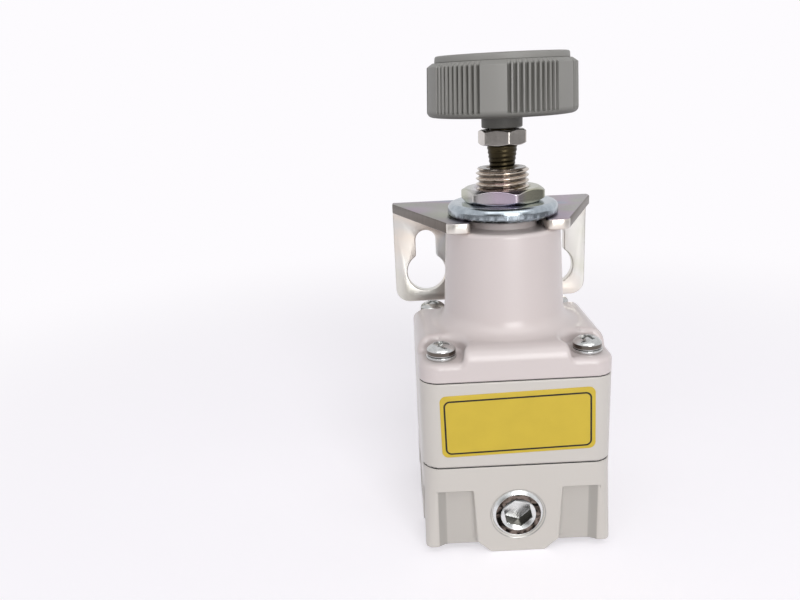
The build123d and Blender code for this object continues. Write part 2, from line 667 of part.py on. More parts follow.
# Upper spring seat: slides in the tower, pushed down by the adjusting screw's collar
with BuildPart() as upper_spring_seat:
    with BuildSketch(Plane.XY.offset(upper_seat_bottom)):
        Circle(UPPER_SEAT_RADIUS)
    extrude(amount=UPPER_SEAT)
    with BuildSketch(Plane.XY.offset(upper_seat_bottom)):
        Circle(SPRING_BOSS_RADIUS)
    extrude(amount=-UPPER_SEAT_BOSS)
    with BuildSketch(Plane.XY.offset(upper_seat_top)):
        Circle(ADJUSTER_COLLAR_RADIUS + SEAT_DIMPLE_PLAY)
    extrude(amount=-SEAT_DIMPLE, mode=Mode.SUBTRACT)
upper_spring_seat.part.label = "upper_spring_seat"
export_step(upper_spring_seat.part, "parts/upper_spring_seat.step")

# Screw pocket of the bonnet: round with a rounded rim, and open to the corner
pad_depth = FLANGE_HEIGHT - POCKET_FLOOR
corner_reach = 2 * SCREW_EDGE + 1
with BuildPart() as pocket_cutter:
    with BuildSketch(Plane.XZ):
        with BuildLine():
            rim = CenterArc((POCKET_RADIUS + POCKET_RIM, pad_depth - POCKET_RIM), POCKET_RIM, 90, 90)
            Polyline(rim @ 0, (POCKET_RADIUS + POCKET_RIM, 2 * pad_depth), (0, 2 * pad_depth), (0, 0))
            Polyline((0, 0), (POCKET_RADIUS, 0), rim @ 1)
        make_face()
    revolve(axis=Axis.Z)
    with BuildSketch(Plane.XY):
        Polygon(
            (0, 0), (corner_reach, -corner_reach), (2 * corner_reach, 0), (corner_reach, corner_reach),
            align=None,
        )
    extrude(amount=2 * pad_depth)

# Bonnet: flange with rounded pads, round tower with a filleted foot, and the neck
with BuildPart() as bonnet:
    with BuildSketch(Plane.XY.offset(bonnet_bottom)):
        RectangleRounded(BODY_SIDE, BODY_SIDE, CORNER_RADIUS)
    extrude(amount=FLANGE_HEIGHT)
    fillet(bonnet.edges().group_by(Axis.Z)[-1], PAD_ROUND)
    with BuildSketch(Plane.XZ):
        Polygon(
            (0, bonnet_bottom),
            (TOWER_FOOT_RADIUS, bonnet_bottom),
            (TOWER_FOOT_RADIUS, flange_top),
            (TOWER_TOP_RADIUS, shoulder),
            (0, shoulder),
            align=None,
        )
    revolve(axis=Axis.Z)
    foot = bonnet.edges().filter_by(GeomType.CIRCLE).filter_by(
        lambda edge: abs(edge.radius - TOWER_FOOT_RADIUS) < 0.01 and abs(edge.center().Z - flange_top) < 0.01
    )
    fillet(foot, FOOT_FILLET)
    fillet(bonnet.faces().sort_by(Axis.Z)[-1].edges(), TOWER_EDGE)
    with BuildSketch(Plane.XY.offset(shoulder)):
        Circle(NECK_RADIUS)
    extrude(amount=NECK_HEIGHT)
    with Locations((0, 0, screw_seat)):
        with PolarLocations(screw_spacing / 2 ** 0.5, 4, start_angle=45):
            add(pocket_cutter.part, mode=Mode.SUBTRACT)
    with BuildSketch(Plane.XY.offset(bonnet_bottom)):
        with GridLocations(screw_spacing, screw_spacing, 2, 2):
            Circle(SCREW_RADIUS + SCREW_CLEARANCE)
    extrude(amount=FLANGE_HEIGHT, mode=Mode.SUBTRACT)
    with BuildSketch(Plane.XY.offset(bonnet_bottom)):
        Circle(LOWER_CAVITY_RADIUS)
    extrude(amount=LOWER_CAVITY, mode=Mode.SUBTRACT)
    with BuildSketch(Plane.XY.offset(bonnet_bottom)):
        Circle(SPRING_CAVITY_RADIUS)
    extrude(amount=cavity_top - bonnet_bottom, mode=Mode.SUBTRACT)
    with BuildSketch(Plane.XY.offset(cavity_top)):
        Circle(BUSHING_RADIUS + BUSHING_PLAY)
    extrude(amount=neck_top - cavity_top, mode=Mode.SUBTRACT)
    with BuildSketch(side_plane(REAR, 0, bonnet_bottom + BREATHER_HEIGHT)):
        Circle(BREATHER_RADIUS)
    extrude(amount=TOWER_FOOT_RADIUS + 1, mode=Mode.SUBTRACT)
bonnet.part.label = "bonnet"
export_step(bonnet.part, "parts/bonnet.step")

# Cover screws and their spring washers, one in each pocket
head_seat = screw_seat + SPRING_WASHER
for number, place in enumerate(GridLocations(screw_spacing, screw_spacing, 2, 2), start=1):
    x, y = place.position.X, place.position.Y
    with BuildPart(Plane((x, y, head_seat))) as cover_screw:
        Cylinder(HEAD_RADIUS, HEAD_RIM, align=(Align.CENTER, Align.CENTER, Align.MIN))
        with BuildSketch(Plane((x, y, head_seat + HEAD_RIM))):
            Circle(HEAD_RADIUS)
        extrude(amount=HEAD_HEIGHT - HEAD_RIM, taper=40)
        with BuildSketch(Plane((x, y, head_seat + HEAD_HEIGHT))):
            Rectangle(CROSS_LENGTH, CROSS_WIDTH)
            Rectangle(CROSS_WIDTH, CROSS_LENGTH)
        extrude(amount=-CROSS_DEPTH, taper=12, mode=Mode.SUBTRACT)
        with BuildSketch(Plane((x, y, head_seat))):
            Circle(SCREW_RADIUS)
        extrude(amount=-SCREW_LENGTH)
    cover_screw.part.label = f"cover_screw_{number}"
    export_step(cover_screw.part, f"parts/cover_screw_{number}.step")

    with BuildPart() as spring_washer:
        with BuildSketch(Plane((x, y, screw_seat))):
            ring(SPRING_WASHER_RADIUS, SCREW_RADIUS + SCREW_CLEARANCE)
            Rectangle(SPRING_WASHER_RADIUS + 1, SPRING_WASHER_SLIT, align=(Align.MIN, Align.CENTER),
                      mode=Mode.SUBTRACT)
        extrude(amount=SPRING_WASHER)
    spring_washer.part.label = f"spring_washer_{number}"
    export_step(spring_washer.part, f"parts/spring_washer_{number}.step")

# Fork bracket: angle section, trimmed to its tapered outline and forked round the neck
fork_radius = NECK_RADIUS + FORK_GAP
with BuildPart() as bracket:
    with BuildSketch(Plane.YZ) as angle_section:
        Polygon(
            (PRONG_END, shoulder),
            (BRACKET_BACK - SHEET, shoulder),
            (BRACKET_BACK - SHEET, bracket_low),
            (BRACKET_BACK, bracket_low),
            (BRACKET_BACK, plate_top),
            (PRONG_END, plate_top),
            align=None,
        )
        outer_bend = angle_section.vertices().sort_by_distance((BRACKET_BACK, plate_top))[0]
        fillet(outer_bend, BEND_RADIUS + SHEET)
        inner_bend = angle_section.vertices().sort_by_distance((BRACKET_BACK - SHEET, shoulder))[0]
        fillet(inner_bend, BEND_RADIUS)
    extrude(amount=BRACKET_HALF_WIDTH, both=True)
    with BuildSketch(Plane.XY.offset(bracket_low)) as outline:
        Polygon(
            (BRACKET_HALF_WIDTH, BRACKET_BACK),
            (BRACKET_HALF_WIDTH, SIDE_START),
            (PRONG_HALF_WIDTH, PRONG_END),
            (-PRONG_HALF_WIDTH, PRONG_END),
            (-BRACKET_HALF_WIDTH, SIDE_START),
            (-BRACKET_HALF_WIDTH, BRACKET_BACK),
            align=None,
        )
        Circle(fork_radius, mode=Mode.SUBTRACT)
        Rectangle(2 * fork_radius, -PRONG_END, align=(Align.CENTER, Align.MAX), mode=Mode.SUBTRACT)
        prong_corners = outline.vertices().group_by(Axis.Y)[0].sort_by(Axis.X)
        fillet([prong_corners[0], prong_corners[-1]], PRONG_OUTER_ROUND)
        prong_corners = outline.vertices().group_by(Axis.Y)[0].sort_by(Axis.X)
        fillet([prong_corners[1], prong_corners[-2]], PRONG_INNER_ROUND)
    extrude(amount=plate_top - bracket_low, mode=Mode.INTERSECT)
    with BuildSketch(side_plane(REAR, BRACKET_BACK, KEYHOLE_HEIGHT)) as keyholes:
        with GridLocations(KEYHOLE_SPACING, 0, 2, 1):
            Circle(KEYHOLE_RADIUS)
            Rectangle(2 * KEYHOLE_SLOT_RADIUS, KEYHOLE_RISE, align=(Align.CENTER, Align.MIN))
        necks = keyholes.vertices().filter_by_position(Axis.Y, 0, KEYHOLE_RADIUS)
        fillet(necks, KEYHOLE_ROUND)
        with Locations((0, KEYHOLE_RISE)):
            with GridLocations(KEYHOLE_SPACING, 0, 2, 1):
                Circle(KEYHOLE_SLOT_RADIUS)
    extrude(amount=-2 * SHEET, mode=Mode.SUBTRACT)
    fillet(bracket.edges().filter_by(Axis.Y).group_by(Axis.Z)[0], BRACKET_CORNER)
bracket.part.label = "bracket"
export_step(bracket.part, "parts/bracket.step")

# Threaded bushing: its flange bears up against the tower's roof, its thread carries the nut
with BuildPart() as threaded_bushing:
    with BuildSketch(Plane.XY.offset(cavity_top)):
        Circle(BUSHING_FLANGE_RADIUS)
    extrude(amount=-BUSHING_FLANGE)
    with BuildSketch(Plane.XY.offset(cavity_top)):
        Circle(BUSHING_RADIUS)
    extrude(amount=BUSHING_HEIGHT)
    chamfer(threaded_bushing.faces().sort_by(Axis.Z)[-1].edges(), BUSHING_CHAMFER)
    with BuildSketch(Plane.XY.offset(cavity_top - BUSHING_FLANGE)):
        Circle(ADJUSTER_RADIUS + RUNNING_GAP)
    extrude(amount=BUSHING_HEIGHT + BUSHING_FLANGE, mode=Mode.SUBTRACT)
threaded_bushing.part.label = "threaded_bushing"
export_step(threaded_bushing.part, "parts/threaded_bushing.step")

# Panel washer: punched, its lower edge drawn in
with BuildPart() as panel_washer:
    with BuildSketch(Plane.XY.offset(plate_top)):
        Circle(PANEL_WASHER_RADIUS)
    extrude(amount=PANEL_WASHER)
    chamfer(panel_washer.faces().sort_by(Axis.Z)[0].edges(), PANEL_WASHER_EDGE, PANEL_WASHER_EDGE / 2)
    with BuildSketch(Plane.XY.offset(plate_top)):
        Circle(BUSHING_RADIUS + PANEL_WASHER_PLAY)
    extrude(amount=PANEL_WASHER, mode=Mode.SUBTRACT)
panel_washer.part.label = "panel_washer"
export_step(panel_washer.part, "parts/panel_washer.step")


def nut_cone(flats, bottom, top):
    """Half section that turns a hexagon's corners down to a chamfer at both ends."""
    corner = flats / 3 ** 0.5 + 0.1
    drop = (corner - flats / 2) / 2
    Polygon(
        (0, bottom),
        (flats / 2, bottom),
        (corner, bottom + drop),
        (corner, top - drop),
        (flats / 2, top),
        (0, top),
        align=None,
    )


# Panel nut: M10x1, clamps washer and bracket on the tower
with BuildPart() as panel_nut:
    with BuildSketch(Plane.XY.offset(washer_top)):
        RegularPolygon(PANEL_NUT_FLATS / 2, 6, major_radius=False, rotation=PANEL_NUT_TURN)
    extrude(amount=PANEL_NUT)
    with BuildSketch(Plane.XZ):
        nut_cone(PANEL_NUT_FLATS, washer_top, panel_nut_top)
    revolve(axis=Axis.Z, mode=Mode.INTERSECT)
    with BuildSketch(Plane.XY.offset(washer_top)):
        Circle(BUSHING_RADIUS)
    extrude(amount=PANEL_NUT, mode=Mode.SUBTRACT)
panel_nut.part.label = "panel_nut"
export_step(panel_nut.part, "parts/panel_nut.step")

# Adjusting screw: M5, with the collar that presses on the upper spring seat
with BuildPart() as adjusting_screw:
    with BuildSketch(Plane.XY.offset(collar_bottom + TOUCH_GAP)):
        Circle(ADJUSTER_COLLAR_RADIUS)
    extrude(amount=ADJUSTER_COLLAR)
    with BuildSketch(Plane.XY.offset(collar_top)):
        Circle(ADJUSTER_RADIUS)
    extrude(amount=adjuster_top - collar_top)
adjusting_screw.part.label = "adjusting_screw"
export_step(adjusting_screw.part, "parts/adjusting_screw.step")

# Lock nut: M5, run up under the knob, and screwed down on the bushing to hold a setting
lock_nut_top = lock_nut_bottom + LOCK_NUT
with BuildPart() as lock_nut:
    with BuildSketch(Plane.XY.offset(lock_nut_bottom)):
        RegularPolygon(LOCK_NUT_FLATS / 2, 6, major_radius=False, rotation=LOCK_NUT_TURN)
    extrude(amount=LOCK_NUT)
    with BuildSketch(Plane.XZ):
        nut_cone(LOCK_NUT_FLATS, lock_nut_bottom, lock_nut_top)
    revolve(axis=Axis.Z, mode=Mode.INTERSECT)
    with BuildSketch(Plane.XY.offset(lock_nut_bottom)):
        Circle(ADJUSTER_RADIUS + RUNNING_GAP)
    extrude(amount=LOCK_NUT, mode=Mode.SUBTRACT)
lock_nut.part.label = "lock_nut"
export_step(lock_nut.part, "parts/lock_nut.step")

# Knob: moulded cup, hollow from below round its hub and ribs, with six groups of grip grooves
roof_bottom = knob_top - KNOB_ROOF
cavity_radius = KNOB_TOP_RADIUS - KNOB_WALL
group_angle = 360 / GRIP_GROUPS
first_groove = -90 + GRIP_TURN + group_angle / 2 - GROOVE_PITCH * (GROOVES_PER_GROUP - 1) / 2
groove_centre = KNOB_TOP_RADIUS - GROOVE_SUNK
with BuildPart() as knob:
    with BuildSketch(Plane.XZ) as half_section:
        Polygon(
            (0, knob_bottom),
            (KNOB_LOW_RADIUS, knob_bottom),
            (KNOB_TOP_RADIUS, knob_top - KNOB_RIM_DROP),
            (KNOB_TOP_RADIUS - KNOB_RIM_RUN, knob_top),
            (0, knob_top),
            align=None,
        )
        fillet(half_section.vertices().sort_by_distance((KNOB_LOW_RADIUS, knob_bottom))[0], KNOB_FOOT_ROUND)
    revolve(axis=Axis.Z)
    with BuildSketch(Plane.XY.offset(knob_bottom)):
        Circle(cavity_radius)
        Circle(HUB_RADIUS, mode=Mode.SUBTRACT)
        with PolarLocations(0, KNOB_RIBS):
            Rectangle(cavity_radius, KNOB_RIB, align=(Align.MIN, Align.CENTER), mode=Mode.SUBTRACT)
    extrude(amount=roof_bottom - knob_bottom, mode=Mode.SUBTRACT)
    with BuildSketch(Plane.XY.offset(hub_bottom)):
        Circle(HUB_RADIUS)
    extrude(amount=HUB_LENGTH + KNOB_HEIGHT / 2)
    for group in range(GRIP_GROUPS):
        start = first_groove + group * group_angle
        with BuildSketch(Plane.XY.offset(knob_bottom + GROOVE_START)):
            with PolarLocations(
                groove_centre, GROOVES_PER_GROUP, start, GROOVE_PITCH * (GROOVES_PER_GROUP - 1), endpoint=True
            ):
                Rectangle(2, 2 * GROOVE_RADIUS, align=(Align.MIN, Align.CENTER))
                Circle(GROOVE_RADIUS)
        extrude(amount=KNOB_HEIGHT, mode=Mode.SUBTRACT)
    with BuildSketch(Plane.XY.offset(knob_top)):
        Circle(CAP_SPIGOT_RADIUS + LOOSE_GAP)
    extrude(amount=-CAP_SPIGOT, mode=Mode.SUBTRACT)
    with BuildSketch(Plane.XY.offset(hub_bottom)):
        Circle(ADJUSTER_RADIUS)
    extrude(amount=adjuster_top - hub_bottom, mode=Mode.SUBTRACT)
knob.part.label = "knob"
export_step(knob.part, "parts/knob.step")

# Knob cap: disc with a spigot in the knob's top
with BuildPart() as knob_cap:
    with BuildSketch(Plane.XY.offset(knob_top)):
        Circle(CAP_RADIUS)
    extrude(amount=CAP_HEIGHT)
    fillet(knob_cap.faces().sort_by(Axis.Z)[-1].edges(), CAP_ROUND)
    with BuildSketch(Plane.XY.offset(knob_top)):
        Circle(CAP_SPIGOT_RADIUS)
    extrude(amount=-CAP_SPIGOT)
knob_cap.part.label = "knob_cap"
export_step(knob_cap.part, "parts/knob_cap.step")

# Front plug: taper plug with hexagon socket, its cone seated in the port's mouth
plug_face = half_side + PLUG_PROUD
mouth_depth = PORT_MOUTH_RADIUS - PORT_RADIUS
with BuildPart() as front_port_plug:
    with BuildSketch(Plane.YZ):
        Polygon(
            (-plug_face, PORT_AXIS),
            (-plug_face, PORT_AXIS + PORT_MOUTH_RADIUS - PLUG_CHAMFER),
            (-half_side, PORT_AXIS + PORT_MOUTH_RADIUS),
            (-half_side + mouth_depth, PORT_AXIS + PORT_RADIUS),
            (-half_side + PLUG_LENGTH, PORT_AXIS + PORT_RADIUS),
            (-half_side + PLUG_LENGTH, PORT_AXIS),
            align=None,
        )
    revolve(axis=front_port_axis)
    with BuildSketch(side_plane(FRONT, plug_face, PORT_AXIS)):
        RegularPolygon(SOCKET_FLATS / 2, 6, major_radius=False)
    extrude(amount=-SOCKET_DEPTH, mode=Mode.SUBTRACT)
    with BuildSketch(side_plane(FRONT, plug_face, PORT_AXIS)):
        Circle(SOCKET_MOUTH_RADIUS)
    extrude(amount=-SOCKET_MOUTH, taper=45, mode=Mode.SUBTRACT)
front_port_plug.part.label = "front_port_plug"
export_step(front_port_plug.part, "parts/front_port_plug.step")

# Sticker on the middle block's front face, a little askew
with BuildPart() as sticker:
    with BuildSketch(side_plane(FRONT, half_side, (middle_bottom + middle_top) / 2)):
        with Locations(Rotation(0, 0, STICKER_TURN)):
            RectangleRounded(STICKER_WIDTH, STICKER_HEIGHT, STICKER_CORNER)
    extrude(amount=STICKER_THICKNESS)
sticker.part.label = "sticker"
export_step(sticker.part, "parts/sticker.step")
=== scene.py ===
import bmesh
import bpy
import numpy as np
from mathutils import Matrix


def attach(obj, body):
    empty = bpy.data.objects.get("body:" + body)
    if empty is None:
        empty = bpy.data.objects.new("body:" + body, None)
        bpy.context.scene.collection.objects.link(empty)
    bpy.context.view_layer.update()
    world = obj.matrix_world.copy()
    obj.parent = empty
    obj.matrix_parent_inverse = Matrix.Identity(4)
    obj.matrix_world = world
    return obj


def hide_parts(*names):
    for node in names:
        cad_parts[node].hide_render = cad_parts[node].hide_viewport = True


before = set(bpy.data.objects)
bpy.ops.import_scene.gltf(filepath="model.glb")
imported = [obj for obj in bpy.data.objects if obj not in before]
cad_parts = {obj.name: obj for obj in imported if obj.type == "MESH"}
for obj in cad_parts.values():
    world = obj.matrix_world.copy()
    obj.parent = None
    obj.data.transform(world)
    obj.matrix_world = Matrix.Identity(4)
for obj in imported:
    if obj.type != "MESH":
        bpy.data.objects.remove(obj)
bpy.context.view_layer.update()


# Port block: the die-cast aluminium foot of the regulator, with a boss and a 1/8 inch port on each
# side and shallow open recesses beside it. It is cast, deburred, and painted satin light grey.

half_body, body_corner = 17.5, 3.6
port_block_top, underside = 18.1, 1.5
port_height, port_depth, port_radius, mouth_radius, mouth_slope = 8.0, 8.5, 4.72, 4.55, 0.85
boss_start, boss_half, boss_draft, boss_foot_slope = 8.0, 7.6, 0.066, 1.058
leg_edge, leg_slope = 15.38, 1.6
recess_floor, recess_top = 16.35, 13.2
guide_radius, guide_depth = 7.02, 5.0


def rounded_square(x, y, half, corner):
    """Distance to a square with round corners: how far outside the straight part, less the radius."""
    a, b = np.abs(x) - (half - corner), np.abs(y) - (half - corner)
    return np.hypot(np.maximum(a, 0), np.maximum(b, 0)) + np.minimum(np.maximum(a, b), 0) - corner


def both(a, b, radius):
    """Inside of both a and b, the edge between them rounded: near it, the distance to an arc."""
    u, v = np.maximum(a + radius, 0), np.maximum(b + radius, 0)
    return np.minimum(np.maximum(a, b), -radius) + np.hypot(u, v)


def cut(a, b, radius):
    """Inside of a and outside of b, the new edge rounded."""
    return both(a, -b, radius)


def joined(a, b, radius):
    """Inside of a or b, the corner between them filled with a fillet."""
    return -both(-a, -b, radius)


def linked(name, mesh, smooth_angle=None):
    """Object at the origin for a mesh, shaded smooth but for edges sharper than the angle."""
    mesh.shade_smooth()
    if smooth_angle:
        mesh.set_sharp_from_angle(angle=np.radians(smooth_angle))
    piece = bpy.data.objects.new(name, mesh)
    bpy.context.collection.objects.link(piece)
    return piece


def new_object(name, points, faces, smooth_angle=None):
    """Object from an array of points in mm and a list of faces."""
    mesh = bpy.data.meshes.new(name)
    mesh.from_pydata((np.asarray(points, float) * 0.001).tolist(), [], faces)
    return linked(name, mesh, smooth_angle)


def cast(name, field, low, high, step):
    """Surface where field(x, y, z) is zero. Space is cut into cubes. Each cube that the surface crosses
    gives one vertex, its centre pulled onto the surface along the field's slope, and each cube edge
    that crosses the surface gives one quad, between the four cubes round it."""
    axes = [np.arange(a - 1.37 * step, b + 2 * step, step) for a, b in zip(low, high)]
    inside = field(*np.meshgrid(*axes, indexing="ij", sparse=True)) < 0
    n = inside.shape
    count = sum(inside[i:n[0] - 1 + i, j:n[1] - 1 + j, k:n[2] - 1 + k].astype(np.int8)
                for i in (0, 1) for j in (0, 1) for k in (0, 1))
    crossed = (count > 0) & (count < 8)
    number = np.full(crossed.shape, -1)
    number[crossed] = np.arange(crossed.sum())
    p = np.stack([axes[k][i] + step / 2 for k, i in enumerate(np.nonzero(crossed))], 1)
    pulls = 6
    for turn in range(pulls + 1):
        slope = np.stack([field(*(p + d).T) - field(*(p - d).T) for d in np.eye(3) * 0.01], 1) / 0.02
        if turn < pulls:
            move = field(*p.T) / np.maximum((slope ** 2).sum(1), 0.25)
            p -= np.clip(move, -step, step)[:, None] * slope
    quads = []
    for k in range(3):
        a, b = (k + 1) % 3, (k + 2) % 3
        at = np.argwhere(np.diff(inside.astype(np.int8), axis=k) != 0)
        at = at[(at[:, a] > 0) & (at[:, a] < n[a] - 1) & (at[:, b] > 0) & (at[:, b] < n[b] - 1)]
        ring = []
        for da, db in ((1, 1), (0, 1), (0, 0), (1, 0)):
            cell = at.copy()
            cell[:, a] -= da
            cell[:, b] -= db
            ring.append(number[tuple(cell.T)])
        ring = np.stack(ring, 1)
        outward = inside[tuple(at.T)]
        quads.append(np.where(outward[:, None], ring, ring[:, ::-1]))
    piece = new_object(name, p, np.concatenate(quads).tolist())
    normals = slope / np.linalg.norm(slope, axis=1, keepdims=True)
    piece.data.normals_split_custom_set_from_vertices(normals.tolist())
    return piece


def port_block_field(x, y, z):
    """The foot's solid, in mm: a rounded square, its corners squarer towards the foot, over a floor that
    drops to the bosses' ends, less the recess beside each boss, the ports and the guide's bore."""
    out, along = np.maximum(np.abs(x), np.abs(y)), np.minimum(np.abs(x), np.abs(y))
    boss_side = along - (boss_half + (z - 2.6) * boss_draft)
    boss_chamfer = (along - 5.25 - boss_foot_slope * z) / np.hypot(1, boss_foot_slope)
    boss = both(both(-z, boss_chamfer, 0.3), np.maximum(boss_start - out, boss_side), 0.3)
    body = rounded_square(x, y, half_body, np.clip(1.0 + 0.16 * z, 1.2, body_corner))
    body = both(body, np.minimum(underside - z, boss), 0.35)
    body = both(body, z - port_block_top, 0.12)
    leg_side = (along - leg_edge - leg_slope * (out - half_body)) / np.hypot(1, leg_slope)
    boss_wall = np.maximum(boss_side - (half_body - out) * (0.22 + 0.036 * (13 - z)), boss_chamfer)
    recess_end = both(leg_side, z - recess_top - 0.05 * (out - 16), 0.25)
    hollow = both(both(recess_floor - out, -boss_wall, 0.5), recess_end, 0.3)
    body = cut(body, hollow, 0.2)
    side_ports = both(np.hypot(along, z - port_height) - port_radius, half_body - port_depth - out, 0.3)
    front_cone = np.hypot(x, z - port_height) - mouth_radius + mouth_slope * (y + half_body - 0.65)
    front_cone = front_cone / np.hypot(1, mouth_slope)
    body = cut(body, np.minimum(side_ports, front_cone), 0.2)
    return cut(body, both(np.hypot(x, y) - guide_radius, z - guide_depth, 0.3), 0.4)


port_block = cast("port_block_casting", port_block_field, (-half_body, -half_body, 0),
                  (half_body, half_body, port_block_top), 0.28)
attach(port_block, "housing")
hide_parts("port_block")


def linear(colour):
    """Linear RGBA of an sRGB hex colour: each channel through the sRGB curve."""
    c = np.array([int(colour[i:i + 2], 16) for i in (1, 3, 5)]) / 255
    return (*np.where(c <= 0.04045, c / 12.92, ((c + 0.055) / 1.055) ** 2.4).tolist(), 1.0)


def feed(node, inputs):
    """Sets a node's inputs, by number or by name. Each is a value, a socket to link, or a node, whose
    first output in use is linked."""
    for key, value in (inputs.items() if isinstance(inputs, dict) else enumerate(inputs)):
        if isinstance(value, bpy.types.Node):
            value = next(output for output in value.outputs if output.enabled)
        if isinstance(value, bpy.types.NodeSocket):
            node.id_data.links.new(value, node.inputs[key])
        else:
            node.inputs[key].default_value = value


def add(tree, kind, inputs=(), stops=(), **settings):
    """Adds one node with its settings, its inputs and, on a colour ramp, its stops (place, colour)."""
    node = tree.nodes.new("ShaderNode" + kind)
    for key, value in settings.items():
        setattr(node, key, value)
    feed(node, inputs)
    for at, colour in stops:
        node.color_ramp.elements.new(at).color = linear(colour)
    if stops:
        node.color_ramp.elements.remove(node.color_ramp.elements[0])
        node.color_ramp.elements.remove(node.color_ramp.elements[-1])
    return node


def new_material(name, **values):
    """Material with its shader node, whose plain inputs are set from values by name, and the piece's own
    coordinates in mm."""
    material = bpy.data.materials.new(name)
    material.use_nodes = True
    tree = material.node_tree
    shader = tree.nodes["Principled BSDF"]
    feed(shader, {key.replace("_", " "): value for key, value in values.items()})
    metres = add(tree, "TexCoord").outputs["Object"]
    place = add(tree, "VectorMath", (metres, (1000.0, 1000.0, 1000.0)), operation="MULTIPLY")
    return material, tree, shader, place


def mottled(tree, place, size, detail, light, dark, **more):
    """Clouds of a size in mm, and the colour that they give, which wanders from light to dark."""
    cloud = add(tree, "TexNoise", {"Vector": place, "Scale": 1 / size, "Detail": detail, **more})
    return cloud, add(tree, "Mix", {0: cloud, 6: linear(light), 7: linear(dark)}, data_type="RGBA")


def past_edge(tree, x, y, width, height, corner):
    """Distance outside a rounded rectangle about the origin: as in rounded_square, worked out by nodes."""
    over = []
    for value, length in ((x, width), (y, height)):
        size = add(tree, "Math", (value,), operation="ABSOLUTE")
        over.append(add(tree, "Math", (size, length / 2 - corner), operation="SUBTRACT"))
    outside = [add(tree, "Math", (value, 0.0), operation="MAXIMUM") for value in over]
    far = add(tree, "VectorMath", (add(tree, "CombineXYZ", outside),), operation="LENGTH")
    nearer = add(tree, "Math", over, operation="MAXIMUM")
    inside = add(tree, "Math", (nearer, 0.0), operation="MINIMUM")
    total = add(tree, "Math", (far, inside), operation="ADD")
    return add(tree, "Math", (total, corner), operation="SUBTRACT")


def wear(piece, *materials):
    """Gives the piece its materials, in the order of its faces' material numbers."""
    piece.data.materials.clear()
    for material in materials:
        piece.data.materials.append(material)


def satin_paint(name, pale, deep):
    """Satin enamel on die-cast aluminium: it takes the skin of the casting, a faint orange peel of about
    0.7 mm, and is a touch deeper in broad patches where the spray lay thicker."""
    material, tree, shader, place = new_material(name, IOR=1.55, Coat_Weight=0.4, Coat_Roughness=0.25)
    patches, tone = mottled(tree, place, 22.22, 3.0, pale, deep)
    peel = add(tree, "TexNoise", {"Vector": place, "Scale": 1 / 0.7143, "Detail": 2.0})
    skin = add(tree, "Bump", {"Height": peel, "Strength": 0.35, "Distance": 0.00004})
    gloss = add(tree, "MapRange", {0: patches, 3: 0.3, 4: 0.4})
    feed(shader, {"Base Color": tone, "Roughness": gloss, "Normal": skin})
    return material, tree, shader, place, tone


block_paint = satin_paint("satin_enamel_grey", "#d6d1cb", "#cfcac3")[0]
foot_paint, tree, shader, place, tone = satin_paint("satin_enamel_grey_foot_painted_shade", "#d6d1cb", "#cfcac3")
# Painted shade in the recesses: below their top and behind the outer faces the paint is mixed towards
# a darker grey, most of all on the slanted side of each leg, where leg_side above is zero.
axis = add(tree, "SeparateXYZ", (place,)).outputs
from_face = past_edge(tree, axis[0], axis[1], 2 * half_body, 2 * half_body, body_corner)
on_floor = add(tree, "MapRange", {0: from_face, 1: -0.05, 2: -0.9, 4: 0.45})
behind = add(tree, "MapRange", (from_face, -0.03, -0.2))
ax, ay = (add(tree, "Math", (value,), operation="ABSOLUTE") for value in axis[:2])
out = add(tree, "Math", (ax, ay), operation="MAXIMUM")
along = add(tree, "Math", (ax, ay), operation="MINIMUM")
steep = add(tree, "Math", (out, leg_slope), operation="MULTIPLY")
apart = add(tree, "Math", (steep, along), operation="SUBTRACT")
off_side = add(tree, "Math", (apart, leg_slope * half_body - leg_edge), operation="SUBTRACT")
slant = add(tree, "Math", (off_side,), operation="ABSOLUTE")
near_side = add(tree, "MapRange", (slant, 0.4, 0.15))
on_side = add(tree, "Math", (near_side, behind), operation="MULTIPLY")
painted_shade_share = add(tree, "Math", (on_floor, on_side), operation="MAXIMUM")
off_middle = add(tree, "MapRange", (out, 10.35, 11.2))
under_top = add(tree, "MapRange", (axis[2], recess_top + 0.2, recess_top - 0.1))
in_recess = add(tree, "Math", (off_middle, under_top), operation="MULTIPLY")
painted_recess_shade = add(tree, "Math", (painted_shade_share, in_recess), operation="MULTIPLY")
# the recess shade: the satin grey mixed towards #aaa6a0, a painted shade
feed(shader, {"Base Color": add(tree, "Mix", {0: painted_recess_shade, 6: tone, 7: linear("#aaa6a0")}, data_type="RGBA")})
wear(port_block, foot_paint)


# Port threads: the 1/8 inch taper thread cut in three of the bosses, with its bare countersunk mouth.
# The cutter leaves bright aluminium, with the 0.9 mm pitch showing inside the mouth.

def surface(name, grid, around=True, smooth_angle=35):
    """Mesh of a grid of points (rows, columns, 3), its columns joined all round, its poles merged."""
    rows, columns = grid.shape[:2]
    index = np.arange(rows * columns).reshape(rows, columns)
    right = np.roll(index, -1, axis=1) if around else index[:, 1:]
    left = index if around else index[:, :-1]
    faces = np.stack([left[:-1], right[:-1], right[1:], left[1:]], -1).reshape(-1, 4)
    points = grid.reshape(-1, 3)
    same = np.unique(np.round(points, 5), axis=0, return_inverse=True)[1].reshape(-1)
    first = np.full(same.max() + 1, -1)
    first[same[::-1]] = np.arange(len(points))[::-1]
    merged = first[same][faces]
    flat = (np.sort(merged, 1)[:, 1:] == np.sort(merged, 1)[:, :-1]).sum(1)
    kept = [list(dict.fromkeys(face)) for face in merged[flat < 2].tolist()]
    used = np.unique(np.concatenate([np.array(face) for face in kept]))
    new = np.full(len(points), -1)
    new[used] = np.arange(len(used))
    return new_object(name, points[used], [new[face].tolist() for face in kept], smooth_angle)


def full_turn(columns):
    """Angles of the columns of a shape that goes all round."""
    return np.linspace(0, 2 * np.pi, columns, endpoint=False)


